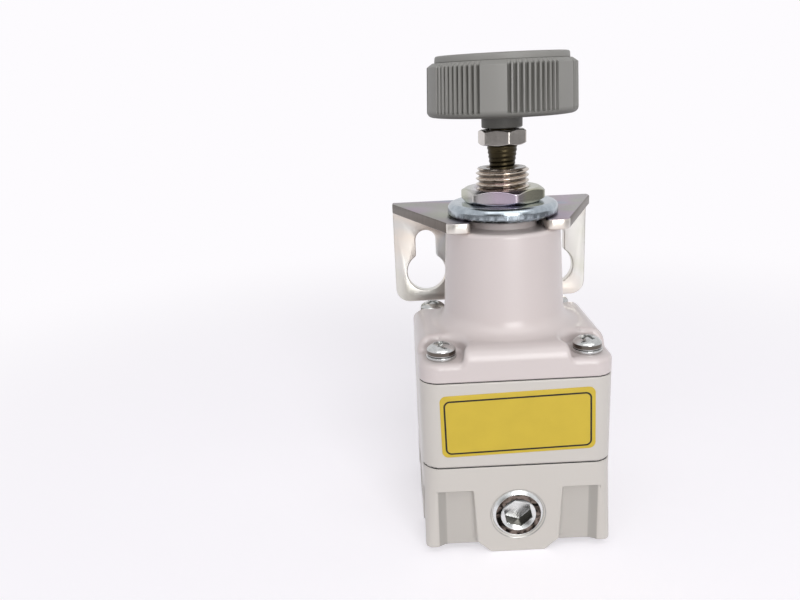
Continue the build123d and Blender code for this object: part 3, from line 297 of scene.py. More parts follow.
def rings(rows, angle):
    """A ring of points about the Z axis for each row (radius, height), at x = radius times the angle's
    cosine and y = radius times its sine. Each radius or height is one value, or one for each angle."""
    r, z = (np.stack([np.broadcast_to(row[k], angle.shape) for row in rows]) for k in (0, 1))
    return np.stack([r * np.cos(angle), r * np.sin(angle), z], -1)


def eased(corners, steps=5):
    """Profile through corners (a, b, radius), each turned into an arc tangent to its two runs."""
    c = np.array([corner[:2] for corner in corners], float)
    out = [c[0]]
    for before, here, after, corner in zip(c, c[1:], c[2:], corners[1:]):
        radius = corner[2] if len(corner) > 2 else 0
        u = (before - here) / np.linalg.norm(before - here)
        v = (after - here) / np.linalg.norm(after - here)
        half = np.arccos(np.clip(u @ v, -1, 1)) / 2
        if radius == 0 or half > 1.55:
            out.append(here)
            continue
        centre = here + (u + v) / np.linalg.norm(u + v) * radius / np.sin(half)
        a, b = here + u * radius / np.tan(half) - centre, here + v * radius / np.tan(half) - centre
        t = np.linspace(0, 1, steps + 1)[:, None]
        turn = np.pi - 2 * half
        out += list(centre + (np.sin((1 - t) * turn) * a + np.sin(t * turn) * b) / np.sin(turn))
    return np.array(out + [c[-1]])


def turned(name, profile, columns):
    """A profile of (radius, height) carried round the Z axis."""
    return surface(name, rings(profile, full_turn(columns)))


def set_down(piece, move):
    """Moves a piece's mesh, and leaves its object at the origin."""
    piece.data.transform(move)
    piece.data.update()


def shift(x, y, z):
    """Move by a distance in mm."""
    return Matrix.Translation((x * 0.001, y * 0.001, z * 0.001))


def spun(degrees, axis="Z"):
    """Turn about an axis."""
    return Matrix.Rotation(np.radians(degrees), 4, axis)


def facing(turn, height=port_height, out=half_body):
    """Place of something made about Z with its mouth at z = 0: on the side that is turned so far."""
    return spun(turn) @ shift(0, -out, height) @ spun(90, "X")


def tooth(s):
    """Height of a 60 degree thread at s pitches along it: a sharp wave, cut flat at root and crest."""
    return np.clip(np.abs(2 * (s % 1) - 1) * 1.35 - 0.175, 0, 1)


bare_aluminium, tree, shader, place = new_material("cut_aluminium", Metallic=1.0, Roughness=0.3)
# a die-cast face fresh off the cutter is pale, with the tool's marks, drawn about 1 mm coarse to show
feed(shader, {"Base Color": mottled(tree, place, 1.111, 4.0, "#c9c7c3", "#a5a39f")[1]})

port_pitch, port_taper, row_step = 0.907, 0.03, 0.09
angle = full_turn(96)
mouth = [(4.7, -0.3), (5.0, -0.04), (5.05, 0.02), (4.95, 0.02), (4.3, -0.62)]
thread = [(4.28 + port_taper * z - 0.42 * tooth(z / port_pitch - angle / (2 * np.pi)), z)
          for z in np.arange(-0.7, -8.4, -row_step)]
drill_end = [(3.3, -port_depth), (0.0, -9.2)]
for side, turn in (("outlet", 90), ("gauge", 180), ("supply", 270)):
    threads = surface("port_thread_" + side, rings(mouth + thread + drill_end, angle))
    set_down(threads, facing(turn))
    wear(threads, bare_aluminium)
    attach(threads, "housing")


# Front plug: a plated steel taper plug in the front gauge port, with a 5 mm hexagon socket.
# Its chamfer and face are turned, its plating is bright, and its end face is painted dark: partly
# browning, partly a painted dark reflection.

socket_flats, socket_depth, socket_turn = 5.0, 2.9, np.radians(11.5)
angle = full_turn(6 * 20)
off_flat = (angle + np.pi / 6 - socket_turn) % (np.pi / 3) - np.pi / 6
hexagon = socket_flats / 2 / np.cos(off_flat)
rim = eased([(4.35, -1.2), (4.85, -0.7), (4.9, -0.24, 0.05), (4.27, 0.2, 0.1), (3.3, 0.2, 0.04),
             (3.2, 0.1)], 4)
# the walls start on a countersink, higher at the hexagon's corners
walls = [(hexagon - 0.02 * share, 0.5 * (hexagon - 3.1) * (1 - share) - socket_depth * share)
         for share in np.linspace(0, 1, 12)]
socket_floor = [(hexagon * 0.9, -2.96), (hexagon * 0.5, -3.0), (0.0, -3.04)]
plug = surface("front_plug", rings([*rim, *walls, *socket_floor], angle))
centres = np.array([face.center[:] for face in plug.data.polygons]) * 1000
from_axis, height = np.hypot(centres[:, 0], centres[:, 1]), centres[:, 2]
end_face = (from_axis < 4.24) & (from_axis > 3.2) & (height > 0.15)
wall_faces = (from_axis > 2.43) & (from_axis < 2.92) & (height < -0.35) & (height > -2.92)
set_down(plug, facing(0))

plug_steel, tree, shader, place = new_material("bright_plated_steel", Metallic=1.0)
# zinc-nickel plate: almost a mirror, with fine scratches from handling
rub, tone = mottled(tree, place, 1.4286, 6.0, "#f2f4f4", "#d2d3d1", Distortion=1.5)
feed(shader, {"Base Color": tone, "Roughness": add(tree, "MapRange", {0: rub, 3: 0.16, 4: 0.3})})

dark_face_reflection, tree, shader, place = new_material("dark_steel_painted_reflection", Metallic=1.0, Roughness=0.2)
# the end face was turned after plating and is painted near black to dark brown in blots of about
# 1.5 mm: partly browning, partly a painted dark reflection
blot = add(tree, "TexNoise", {"Vector": place, "Scale": 1 / 1.5385, "Detail": 3.0, "Distortion": 1.0})
burn = add(tree, "MapRange", (blot, 0.4, 0.6))
browned_and_reflection = add(tree, "Mix", {0: burn, 6: linear("#14110f"), 7: linear("#82766e")}, data_type="RGBA")
feed(shader, {"Base Color": browned_and_reflection})

socket_wall_shade, tree, shader, place = new_material("socket_steel_painted_shade", Metallic=1.0, Roughness=0.25)
# painted shade inside the socket: its walls are near black, with the broach's 0.4 mm streaks, ten
# times as long, along the stroke
stroke = add(tree, "Mapping", {"Vector": place, "Scale": (1.0, 0.1, 1.0)})
feed(shader, {"Base Color": mottled(tree, stroke, 0.4, 3.0, "#2b2a26", "#5a5850")[1]})
wear(plug, plug_steel, dark_face_reflection, socket_wall_shade)
plug.data.polygons.foreach_set("material_index", (end_face * 1 + wall_faces * 2).astype(np.int32))
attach(plug, "housing")
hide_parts("front_port_plug")


def bare_rim(name, profile, columns, place):
    """Ring left bare where the cutter broke through the paint: a profile turned about Z, put at place."""
    rim = turned(name, profile, columns)
    set_down(rim, place)
    wear(rim, bare_aluminium)
    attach(rim, "housing")


bare_rim("front_port_mouth", [(4.8, -0.62), (5.12, -0.12), (5.2, -0.02), (5.24, 0.012), (5.14, 0.015),
                              (4.72, -0.6)], 96, facing(0))


# Middle block: a plain square die casting, faced top and bottom, painted as the port block is.
# The exhaust leaves by a small hole in its rear face.

block_middle, block_half_height = 26.65, 8.29
exhaust_height, exhaust_radius, exhaust_depth = 20.2, 1.3, 6.5
chamber_radius, relay_radius, nozzle_radius = 12.0, 9.5, 3.0
relay_step, relay_roof, chamber_floor = 22.4, 25.4, 31.5


def middle_block_field(x, y, z):
    """Rounded square prism with eased ends, less the exhaust hole in the rear, the two stepped relay
    chambers that open below, the nozzle's hole, and the chamber that opens above."""
    body = rounded_square(x, y, half_body, body_corner)
    body = both(body, np.abs(z - block_middle) - block_half_height, 0.1)
    exhaust = both(np.hypot(x, z - exhaust_height) - exhaust_radius, half_body - exhaust_depth - y, 0.2)
    body = cut(body, exhaust, 0.2)
    r = np.hypot(x, y)
    wide = np.maximum(r - chamber_radius, z - relay_step)
    narrow = np.maximum(r - relay_radius, z - relay_roof)
    above = np.minimum(r - nozzle_radius, np.maximum(r - chamber_radius, chamber_floor - z))
    return np.maximum(body, -np.minimum(np.minimum(wide, narrow), above))


middle_block = cast("middle_block_casting", middle_block_field, (-half_body, -half_body, 18.3),
                    (half_body, half_body, 35.0), 0.34)
wear(middle_block, block_paint)
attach(middle_block, "housing")
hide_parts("middle_block")

bare_rim("exhaust_rim", [(1.3, -0.4), (1.75, -0.05), (1.78, 0.01), (1.6, 0.015), (1.25, -0.25), (1.25, -4.0)],
         48, facing(180, exhaust_height))


# Diaphragms: the black rubber sheets clamped in the two seams. Only their edges show, set back a
# little. The small rubber parts inside are moulded of the same black rubber.

rubber, tree, shader, place = new_material("black_nitrile_rubber", Roughness=0.7, IOR=1.52)
# matt black, with the weave of the cloth in the sheet just showing, 0.4 mm a thread
feed(shader, {"Base Color": mottled(tree, place, 0.4, 2.0, "#121110", "#232221")[1]})
for name in ("relay_diaphragm", "setting_diaphragm", "exhaust_diaphragm", "valve_rubber",
             "valve_guide_oring"):
    wear(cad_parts[name], rubber)


# Bonnet: the die-cast upper casting: a flange with a screw pocket in each corner, and the round tower
# that holds the setting spring. It is painted a warmer grey than the blocks below.

flange_foot, flange_top, tower_top, neck_top = 35.13, 41.3, 60.0, 61.3
flange_edge, tower_radius, tower_draft, tower_fillet, neck_radius = 2.7, 11.65, 0.0455, 3.1, 6.45
breather_height, breather_radius = 47.25, 0.9
screw_place, pocket_floor, pocket_radius, pocket_flare = 13.25, 38.6, 4.45, 0.25


def bonnet_field(x, y, z):
    """Flange, filleted tower and neck joined, less four pockets: round behind, and open to both faces."""
    flange = both(rounded_square(x, y, half_body, body_corner), z - flange_top, flange_edge)
    flange = both(flange, flange_foot - z, 0.12)
    radius = np.hypot(x, y)
    tower = (radius - tower_radius + (z - flange_top) * tower_draft) / np.hypot(1, tower_draft)
    body = joined(flange, both(both(tower, z - tower_top, 0.8), 35.6 - z, 0.1), tower_fillet)
    body = joined(body, both(both(radius - neck_radius, z - neck_top, 0.3), 50.0 - z, 0.1), 0.25)
    a, b = np.abs(x) - screw_place, np.abs(y) - screw_place
    to_side = np.maximum(-a, pocket_flare * a - b - pocket_radius)
    to_front = np.maximum(-b, pocket_flare * b - a - pocket_radius)
    pocket = np.minimum(np.hypot(a, b) - pocket_radius, np.minimum(to_side, to_front))
    body = cut(body, both(pocket, pocket_floor - z, 0.7), 1.2)
    return cut(body, both(np.hypot(x, z - breather_height) - breather_radius, 8.0 - y, 0.1), 0.2)


bonnet = cast("bonnet_casting", bonnet_field, (-half_body, -half_body, 35.1),
              (half_body, half_body, neck_top), 0.27)
wear(bonnet, satin_paint("satin_enamel_warm", "#ddd3d1", "#d4cac8")[0])
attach(bonnet, "housing")
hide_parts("bonnet")

bare_rim("breather_rim", [(0.85, -0.3), (1.2, -0.05), (1.22, 0.03), (1.1, 0.03), (0.8, -0.2), (0.8, -3.0)],
         40, facing(180, breather_height, 11.4))


# Cover screws: M3 pan head screws with a cross recess, one in each pocket, over a split spring washer.
# Both are steel, bright plated.

head_radius, shank_radius, screw_end, washer_height = 2.62, 1.5, -28.0, 0.7
cross_length, cross_half_width, cross_depth = 1.5, 0.36, 1.15


def dome(r):
    """Height of a pan head over its seat at radius r: it falls from the middle as the cube of the radius."""
    return 2.05 - 1.0 * (r / 2.6) ** 3


def sunk(r, angle):
    """Depth of the cross recess: two crossed slots with soft walls, shallower outwards."""
    u, v = np.abs(r * np.cos(angle)), np.abs(r * np.sin(angle))
    arms = np.minimum(np.maximum(u - cross_length, v - cross_half_width),
                      np.maximum(v - cross_length, u - cross_half_width))
    into = np.clip(0.5 - arms / 0.12, 0, 1)
    return into * into * (3 - 2 * into) * (cross_depth - 0.5 * r / cross_length)


screw_steel, tree, shader, place = new_material("zinc_plated_screw_steel", Metallic=1.0)
# barrel-plated screws are a little duller than the plug, more so where the driver has been
dulled, tone = mottled(tree, place, 0.9091, 5.0, "#e2e3e2", "#a9a9a7")
# the head's upright side, between 39.5 and 40.2 mm, is a darker grey-brown
level = add(tree, "SeparateXYZ", (place,)).outputs[2]
over, under = add(tree, "MapRange", (level, 39.48, 39.56)), add(tree, "MapRange", (level, 40.26, 40.18))
upright = add(tree, "Math", (over, under), operation="MULTIPLY")
darker_side = add(tree, "Mix", {0: upright, 6: tone, 7: linear("#6a645d")}, data_type="RGBA")
feed(shader, {"Base Color": darker_side, "Roughness": add(tree, "MapRange", {0: dulled, 3: 0.12, 4: 0.26})})

top_radii = np.concatenate([np.linspace(0, 1.7, 30), np.linspace(1.76, 2.5, 10)])
rim = eased([(2.5, dome(2.5)), (head_radius, 0.95, 0.08), (head_radius, 0.12, 0.1), (2.5, 0.0),
             (shank_radius, 0.0)], 4)
wire = eased([(2.75, 0.3), (2.75, 0.62, 0.1), (1.65, 0.62, 0.1), (1.65, 0.02, 0.1), (2.75, 0.02, 0.1),
              (2.75, 0.3)], 3)
angle = full_turn(144)
coil_angle, coil_rise = np.linspace(np.radians(95), np.radians(445), 90), np.linspace(-0.01, 0.05, 90)
for number, (x, y, turn) in enumerate(((-1, -1, 12), (-1, 1, 50), (1, -1, -33), (1, 1, 71)), start=1):
    top = [(r, dome(r) - sunk(r, angle + np.radians(turn))) for r in top_radii]
    rows = [*top, *rim, (shank_radius, screw_end + 0.5), (0.0, screw_end)]
    screw = surface(f"cover_screw_body_{number}", rings(rows[::-1], angle))
    set_down(screw, shift(x * screw_place, y * screw_place, pocket_floor + washer_height))
    wear(screw, screw_steel)
    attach(screw, "housing")
    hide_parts(f"cover_screw_{number}")
    # split washer: a square wire bent round, its two ends a little apart in height
    coil = rings([(r, z + coil_rise) for r, z in wire], coil_angle)
    first, last = (np.repeat(coil[:, k].mean(0)[None, None], len(wire), 0) for k in (0, -1))
    washer = surface(f"split_washer_{number}", np.concatenate([first, coil, last], 1), around=False)
    set_down(washer, shift(x * screw_place, y * screw_place, pocket_floor) @ spun(turn / 4))
    wear(washer, screw_steel)
    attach(washer, "housing")
    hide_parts(f"spring_washer_{number}")


# Fork bracket: 2 mm steel sheet, blanked, pierced with two keyholes, bent square and zinc plated.
# The plating is bright with a faint rainbow, and the sheared edges are darker than the faces.

def ease_edges(piece, width, angle, segments):
    """Rounds the piece's edges that are sharper than angle, over a width in mm."""
    bevel = piece.modifiers.new("eased edges", "BEVEL")
    bevel.width = width * 0.001
    bevel.segments = segments
    bevel.limit_method = "ANGLE"
    bevel.angle_limit = np.radians(angle)
    bevel.harden_normals = True


def clean_copy(name, node):
    """Copy of a CAD node's mesh, its doubles merged and its triangles joined into flat faces."""
    mesh = bpy.data.meshes.new(name)
    build = bmesh.new()
    build.from_mesh(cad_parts[node].data)
    bmesh.ops.remove_doubles(build, verts=build.verts, dist=1e-7)
    bmesh.ops.dissolve_limit(build, angle_limit=np.radians(0.4), verts=build.verts, edges=build.edges)
    build.to_mesh(mesh)
    build.free()
    return linked(name, mesh)


plate_top = 62.0
bracket = clean_copy("fork_bracket", "bracket")
ease_edges(bracket, 0.3, 32, 3)
bracket_zinc, tree, shader, place = new_material("bright_zinc_plate", Metallic=1.0)
# clear-passivated zinc: faint patches of straw, rose and pale blue some 17 mm across, over rolled sheet
# grain; the horizontal plate's top is painted darker and bluer than the upright one, a painted shade
cloud = add(tree, "TexNoise", {"Vector": place, "Scale": 1 / 16.667, "Detail": 2.0, "Distortion": 0.6})
upright = add(tree, "ValToRGB", (cloud,), ((0.3, "#dcdbd0"), (0.42, "#e4e2dd"), (0.52, "#e6ddd3"),
                                           (0.62, "#d8dad9"), (0.72, "#dfe0d6")))
# painted shade: the horizontal plate's top gets these darker colours
flat = add(tree, "ValToRGB", (cloud,), ((0.32, "#a2a496"), (0.44, "#a09c9a"), (0.54, "#a797a5"),
                                        (0.64, "#979fad"), (0.72, "#9c9a95")))
height = add(tree, "SeparateXYZ", (place,)).outputs[2]
level = add(tree, "MapRange", (height, plate_top - 0.3, plate_top - 0.05))
film = add(tree, "Mix", {0: level, 6: upright, 7: flat}, data_type="RGBA")
grain = add(tree, "TexNoise", {"Vector": place, "Scale": 1 / 0.6667, "Detail": 5.0})
grit = add(tree, "Bump", {"Height": grain, "Strength": 0.15, "Distance": 0.00001})
haze = add(tree, "MapRange", {0: grain, 3: 0.3, 4: 0.42})
feed(shader, {"Base Color": film, "Roughness": haze, "Normal": grit})

sheared, tree, shader, place = new_material("sheared_zinc_edge", Metallic=1.0, Roughness=0.38)
# the press sheared the sides: 0.45 mm streaks drawn out along the stroke, darker than the rolled faces
drag = add(tree, "Mapping", {"Vector": place, "Scale": (1.0, 1.0, 0.15)})
feed(shader, {"Base Color": mottled(tree, drag, 0.4545, 4.0, "#7d746c", "#544d47")[1]})
normals = np.array([face.normal[:] for face in bracket.data.polygons])
areas = np.array([face.area for face in bracket.data.polygons]) * 1e6
slanted = (np.abs(normals[:, 0]) > 0.6) & (normals[:, 1] < -0.2) & (areas > 20)
wear(bracket, bracket_zinc, sheared)
bracket.data.polygons.foreach_set("material_index", slanted.astype(np.int32))
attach(bracket, "housing")
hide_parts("bracket")


# Panel washer: a thick washer punched from plate and zinc plated. Punching rounds the edge on top
# and leaves the lowest part of its edge broken; that band is painted dark, partly as the broken metal
# and partly as a painted shadow where the washer sits on the bracket.

washer_bore, washer_radius, washer_foot, washer_top, torn_height = 5.3, 10.35, plate_top, 64.5, 62.3


def torn(r, z, angle):
    """Radius of the washer: its edge is uneven near its foot, by four waves added round it."""
    waves = sum(np.sin(count * angle + start)
                for count, start in ((37, 0), (61, 1), (97, 2), (143, 3 + 6 * z)))
    return r + 0.04 * waves * np.clip(1 - np.abs(z - torn_height) / 0.3, 0, 1) * (r > 9)


profile = eased([(washer_bore, washer_foot), (10.05, washer_foot, 0.05), (10.25, torn_height, 0.1),
                 (washer_radius, 62.5, 0.1), (washer_radius, washer_top, 1.2), (washer_bore, washer_top)], 10)
angle = full_turn(240)
rows = [(torn(r, z, angle), z) for r, z in [*profile, (washer_bore, washer_foot)]]
panel_washer = surface("panel_washer_ring", rings(rows, angle), smooth_angle=45)
washer_zinc, tree, shader, place = new_material("blue_zinc_plate", Metallic=1.0, Roughness=0.22)
# blue-passivated zinc, glossier than the bracket, with dents of 0.4 to 1.6 mm from barrel plating
blotch, tone = mottled(tree, place, 1.6129, 3.0, "#ced6dc", "#8b969f")
height = add(tree, "SeparateXYZ", (place,)).outputs[2]
# the lowest band of the edge, dark in spots: broken metal, and a painted contact shadow
torn_shadow_band = add(tree, "MapRange", (height, 62.7, 62.35))
spots = add(tree, "MapRange", (blotch, 0.42, 0.56, 1.0, 0.5))
torn_and_shadow_part = add(tree, "Math", (torn_shadow_band, spots), operation="MULTIPLY")
edge_tone_and_shadow = add(tree, "Mix", {0: torn_and_shadow_part, 6: tone, 7: linear("#2f3130")}, data_type="RGBA")
dents = add(tree, "Bump", {"Height": blotch, "Strength": 0.35, "Distance": 0.00005})
feed(shader, {"Base Color": edge_tone_and_shadow, "Normal": dents})
wear(panel_washer, washer_zinc)
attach(panel_washer, "housing")
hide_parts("panel_washer")


# Panel nut: a thin M10 hexagon nut, 14 mm across flats, chamfered at both faces and zinc plated.
# It clamps the washer and the bracket on the tower.

def nut(name, flats, low, high, bore, turn):
    """Hexagon nut: at each angle a radius to its flat, with both ends turned down by a 30 degree cone."""
    angle = full_turn(6 * 18)
    off_flat = angle % (np.pi / 3) - np.pi / 6
    across = np.minimum(flats / 2 / np.cos(off_flat), flats / 1.732 - 0.012 * flats)
    land, chamfer = flats / 2 * 0.97, 0.35
    drop = (across - land) * 0.577
    rows = [(bore, low + chamfer), (bore + chamfer, low), (land, low), (across, low + drop),
            (across, high - drop), (land, high), (bore + chamfer, high), (bore, high - chamfer),
            (bore, low + chamfer)]
    piece = surface(name, rings(rows, angle + np.radians(turn)), smooth_angle=25)
    ease_edges(piece, 0.14, 25, 3)
    return piece


panel_nut = nut("panel_nut_hexagon", 14.0, washer_top, 67.2, 5.0, -18.4)
nut_zinc, tree, shader, place = new_material("clear_zinc_plate", Metallic=1.0, Roughness=0.22)
# its colours change from flat to flat: straw, rose and grey-green, across its width from left to right,
# in clouds of about 8 mm: a real passivation rainbow, laid flat by flat as a painted reflection
cloud = add(tree, "TexNoise", {"Vector": place, "Scale": 1 / 7.692, "Detail": 2.0})
sideways = add(tree, "SeparateXYZ", (place,)).outputs[0]
across = add(tree, "MapRange", {0: sideways, 1: -8.0, 2: 8.0, 4: 0.9})
shade = add(tree, "Math", (cloud, 0.2, across), operation="MULTIPLY_ADD")
rainbow_and_reflection = add(tree, "ValToRGB", (shade,), ((0.12, "#b3b5a4"), (0.24, "#c3bfc0"), (0.42, "#cdbccc"),
                                           (0.6, "#c3b6c6"), (0.72, "#c4c2ae"), (0.95, "#a8a898")))
feed(shader, {"Base Color": rainbow_and_reflection})
wear(panel_nut, nut_zinc)
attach(panel_nut, "housing")
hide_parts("panel_nut")


# Threaded bushing: turned steel, nickel plated, its M10x1 thread standing out of the panel nut.
# The adjusting screw runs in it.

def threaded_rod(name, radius, pitch, depth, low, high, bore, start, columns=120):
    """Outside thread: the radius falls by the tooth's height at (height / pitch - angle / full turn).
    A bored rod also has its end chamfered, outside and in the bore."""
    angle = full_turn(columns)
    rows = [(bore, low)]
    for z in [*np.arange(low, high, pitch / 12), high]:
        r = radius(z) - depth * tooth(z / pitch - angle / (2 * np.pi) + start)
        if bore:
            r = np.minimum(r, radius(z) - depth + (high - z) * 1.1 + 0.15)
        rows.append((r, z))
    rows += [(bore + 0.25, high), (bore, high - 0.25), (bore, low)] if bore else [(0.0, high)]
    return surface(name, rings(rows, angle), smooth_angle=50)


def off_axis(tree, place):
    """Distance from the Z axis: the length of the place with its height taken out."""
    flat_place = add(tree, "VectorMath", (place, (1.0, 1.0, 0.0)), operation="MULTIPLY")
    return add(tree, "VectorMath", (flat_place,), operation="LENGTH")


nickel, tree, shader, place = new_material("bright_nickel_plate", Metallic=1.0, Roughness=0.17)
# electroplated nickel is a warmer white than zinc, in 2 mm clouds, and is painted dark brown at the
# root of the thread, a painted shade in the thread's groove
tone = mottled(tree, place, 2.0, 4.0, "#e6ddd3", "#b5a99d")[1]
root_shade = add(tree, "MapRange", {0: off_axis(tree, place), 1: 4.52, 2: 4.4, 4: 0.75})
feed(shader, {"Base Color": add(tree, "Mix", {0: root_shade, 6: tone, 7: linear("#3f362f")}, data_type="RGBA")})
bushing = threaded_rod("bushing_thread", lambda z: 4.95, 1.0, 0.62, 58.0, 70.8, 2.9, 0.2)
wear(bushing, nickel)
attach(bushing, "housing")
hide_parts("threaded_bushing")


# Adjusting screw: M5 steel, dark chromated and greased, seen between the bushing and the lock nut.
# Its thread has a 0.8 mm pitch, and the part that shows widens a little upwards.

lock_nut_foot, lock_nut_top = 74.9, 77.7


def adjuster_radius(z):
    """The screw's radius: the thread's, widening as a cone from the bushing to just under the lock nut."""
    return 2.34 + np.clip((z - 71.0) / 3.7, 0, 1) * 0.48 * (z < lock_nut_foot - 0.05)


dark_steel, tree, shader, place = new_material("chromated_steel_greased", Metallic=1.0, Roughness=0.4)
# dark olive film, blotched by grease every 2.4 mm or so
feed(shader, {"Base Color": mottled(tree, place, 2.381, 5.0, "#27231b", "#504733")[1]})
adjuster = threaded_rod("adjusting_screw_thread", adjuster_radius, 0.8, 0.1, 53.0, 88.4, 0.0, 0.1)
wear(adjuster, dark_steel)
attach(adjuster, "knob")
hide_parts("adjusting_screw")


# Lock nut: an M5 hexagon nut, 8 mm across flats, nickel plated, run up under the knob. Screwed down
# on the bushing it holds the setting.

nut_plate, tree, shader, place = new_material("satin_nickel_plate", Metallic=1.0, Roughness=0.26)
# nickel over a tumbled nut: a soft sheen, rubbed in marks of about 1 mm
feed(shader, {"Base Color": mottled(tree, place, 1.111, 5.0, "#d6d1cb", "#b0aaa4")[1]})
lock_nut = nut("lock_nut_hexagon", 8.0, lock_nut_foot, lock_nut_top, 2.95, -21.0)
wear(lock_nut, nut_plate)
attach(lock_nut, "lock_nut")
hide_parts("lock_nut")


# Knob: moulded grey resin, a cup with a hub and ribs inside, and six groups of ten grip grooves
# round it. It is pressed on the adjusting screw.

knob_foot, knob_top = 80.3, 89.7
groove_depth, least_radius, groove_step, groove_half = 0.62, 12.85, np.radians(4.2), 0.33


def knob_groove(angle):
    """Share of the full groove depth at an angle: ten round-bottomed grooves 4.2 degrees apart in each
    60, whose sides rise as the fourth power of the distance from the groove's middle."""
    local = (angle - np.radians(-90 - 14.0)) % np.radians(60) - np.radians(30)
    place = local / groove_step - 0.5
    across = np.abs(place - np.round(place)) / groove_half
    return np.clip(1 - across ** 4, 0, 1) * (np.abs(local) < 5 * groove_step)


def gripped(r, z, angle):
    """Radius of the knob's wall, less its grooves, which run out 0.25 mm over the rounded foot."""
    reach = np.clip((z - knob_foot - 0.75) / 0.25, 0, 1) * np.clip((knob_top + 0.05 - z) / 0.05, 0, 1)
    return r - np.minimum(groove_depth, np.maximum(r - least_radius, 0)) * knob_groove(angle) * reach


angle = full_turn(1200)
wall = eased([(12.6, knob_foot), (13.7, knob_foot, 1.0), (13.45, 89.0, 0.25), (12.45, knob_top, 0.12),
              (11.3, knob_top)], 6)
# more rows between the last two points of the foot's arc, where the grooves run out
run_out = np.linspace(wall[6], wall[7], 30)[1:-1]
outside = [(gripped(r, z, angle), z) for r, z in [*wall[:7], *run_out, *wall[7:]]]
inside = eased([(11.3, knob_top), (11.3, 89.0), (2.4, 89.0), (2.4, 78.0), (3.75, 78.0, 0.25),
                (3.85, 87.0, 0.5), (11.1, 87.3, 0.8), (11.4, knob_foot, 0.2), (12.6, knob_foot)], 4)[1:]
knob = surface("knob_grip", rings([*outside, *inside], angle), smooth_angle=48)

resin, tree, shader, place = new_material("moulded_grey_resin", Roughness=0.5, IOR=1.46)
# glass-filled nylon from a spark-eroded mould: matt, with a fine even texture and slight flow marks
tone = mottled(tree, place, 16.667, 3.0, "#94938f", "#8b8a86")[1]
radius, height = off_axis(tree, place), add(tree, "SeparateXYZ", (place,)).outputs[2]
# painted shade in the grooves, below a radius of 13.35 mm, between the rounded ends of the wall
in_groove = add(tree, "MapRange", (radius, 13.35, 13.0))
over, under = add(tree, "MapRange", (height, 80.9, 81.3)), add(tree, "MapRange", (height, 89.2, 88.8))
band = add(tree, "Math", (over, under), operation="MULTIPLY")
groove_shade = add(tree, "Math", (in_groove, band), operation="MULTIPLY")
# painted shade also darkens the foot of the wall, and the hub below the knob all round, under the
# knob's overhang
on_foot, on_rim = add(tree, "MapRange", (height, 81.6, 80.5)), add(tree, "MapRange", (radius, 11.0, 12.0))
foot_shade = add(tree, "Math", (on_foot, on_rim), operation="MULTIPLY")
near_hub = add(tree, "MapRange", {0: radius, 1: 5.2, 2: 4.5, 4: 0.9})
on_hub = add(tree, "MapRange", (height, 81.5, 80.5))
hub_shade = add(tree, "Math", (near_hub, on_hub), operation="MULTIPLY")
wall_shade = add(tree, "Math", (groove_shade, foot_shade), operation="MAXIMUM")
knob_shade = add(tree, "Math", (wall_shade, hub_shade), operation="MAXIMUM")
# the painted shade mixes the resin's grey towards #5a5954
shaded_tone = add(tree, "Mix", {0: knob_shade, 6: tone, 7: linear("#5a5954")}, data_type="RGBA")
spark = add(tree, "TexNoise", {"Vector": place, "Scale": 1 / 0.3125, "Detail": 2.0})
rough = add(tree, "Bump", {"Height": spark, "Strength": 0.4, "Distance": 0.00003})
feed(shader, {"Base Color": shaded_tone, "Normal": rough})
wear(knob, resin)
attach(knob, "knob")
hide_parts("knob")

# six ribs stiffen the cup from inside: each a box from the hub to the wall, turned 60 degrees on
turn = np.radians(60 * np.arange(6))[:, None, None]
x, y = np.array([(3.0, -0.7), (11.5, -0.7), (11.5, 0.7), (3.0, 0.7)]).T
z = np.array([80.7, 87.6])[:, None]
points = np.stack(np.broadcast_arrays(x * np.cos(turn) - y * np.sin(turn),
                                      x * np.sin(turn) + y * np.cos(turn), z), -1).reshape(-1, 3)
sides = [(i, (i + 1) % 4, 4 + (i + 1) % 4, 4 + i) for i in range(4)]
faces = np.array([(3, 2, 1, 0), (4, 5, 6, 7), *sides]) + 8 * np.arange(6)[:, None, None]
ribs = new_object("knob_ribs", points, faces.reshape(-1, 4).tolist(), 30)
wear(ribs, resin)
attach(ribs, "knob")


# Knob cap: a moulded disc snapped into the top of the knob, with an eased edge and a shallow dished
# middle.

cap_top, cap_dish = 90.9, 90.66
cap = turned("knob_cap_disc", eased([(11.2, knob_top), (12.07, 89.72, 0.1), (11.98, cap_top, 0.4),
                                     (9.6, cap_top, 0.3), (9.3, 90.72, 0.3), (4.0, cap_dish, 1.0),
                                     (0.0, cap_dish)]), 160)
wear(cap, resin)
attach(cap, "knob")
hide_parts("knob_cap")


# Sticker: printed yellow film on the front of the middle block, a little askew, with a thin dark
# frame line printed inside its edge.

sticker_width, sticker_height, sticker_corner = 28.0, 12.1, 1.2
sticker_middle, sticker_tilt, line_drop = 26.9, 1.3, 0.22
line_width, line_height, line_corner, line_half = 26.4, 10.3, 1.0, 0.14


def rounded_rectangle(width, height, corner, inset, count=12):
    """Outline of a rounded rectangle, drawn in by inset: four quarter arcs joined by straight runs."""
    w, h, c = width / 2 - inset, height / 2 - inset, max(corner - inset, 0.05)
    t = np.linspace(0, np.pi / 2, count)
    return np.concatenate([np.stack([(w - c) * x + c * np.cos(t + k * np.pi / 2),
                                     (h - c) * y + c * np.sin(t + k * np.pi / 2)], 1)
                           for k, (x, y) in enumerate(((1, 1), (-1, 1), (-1, -1), (1, -1)))])


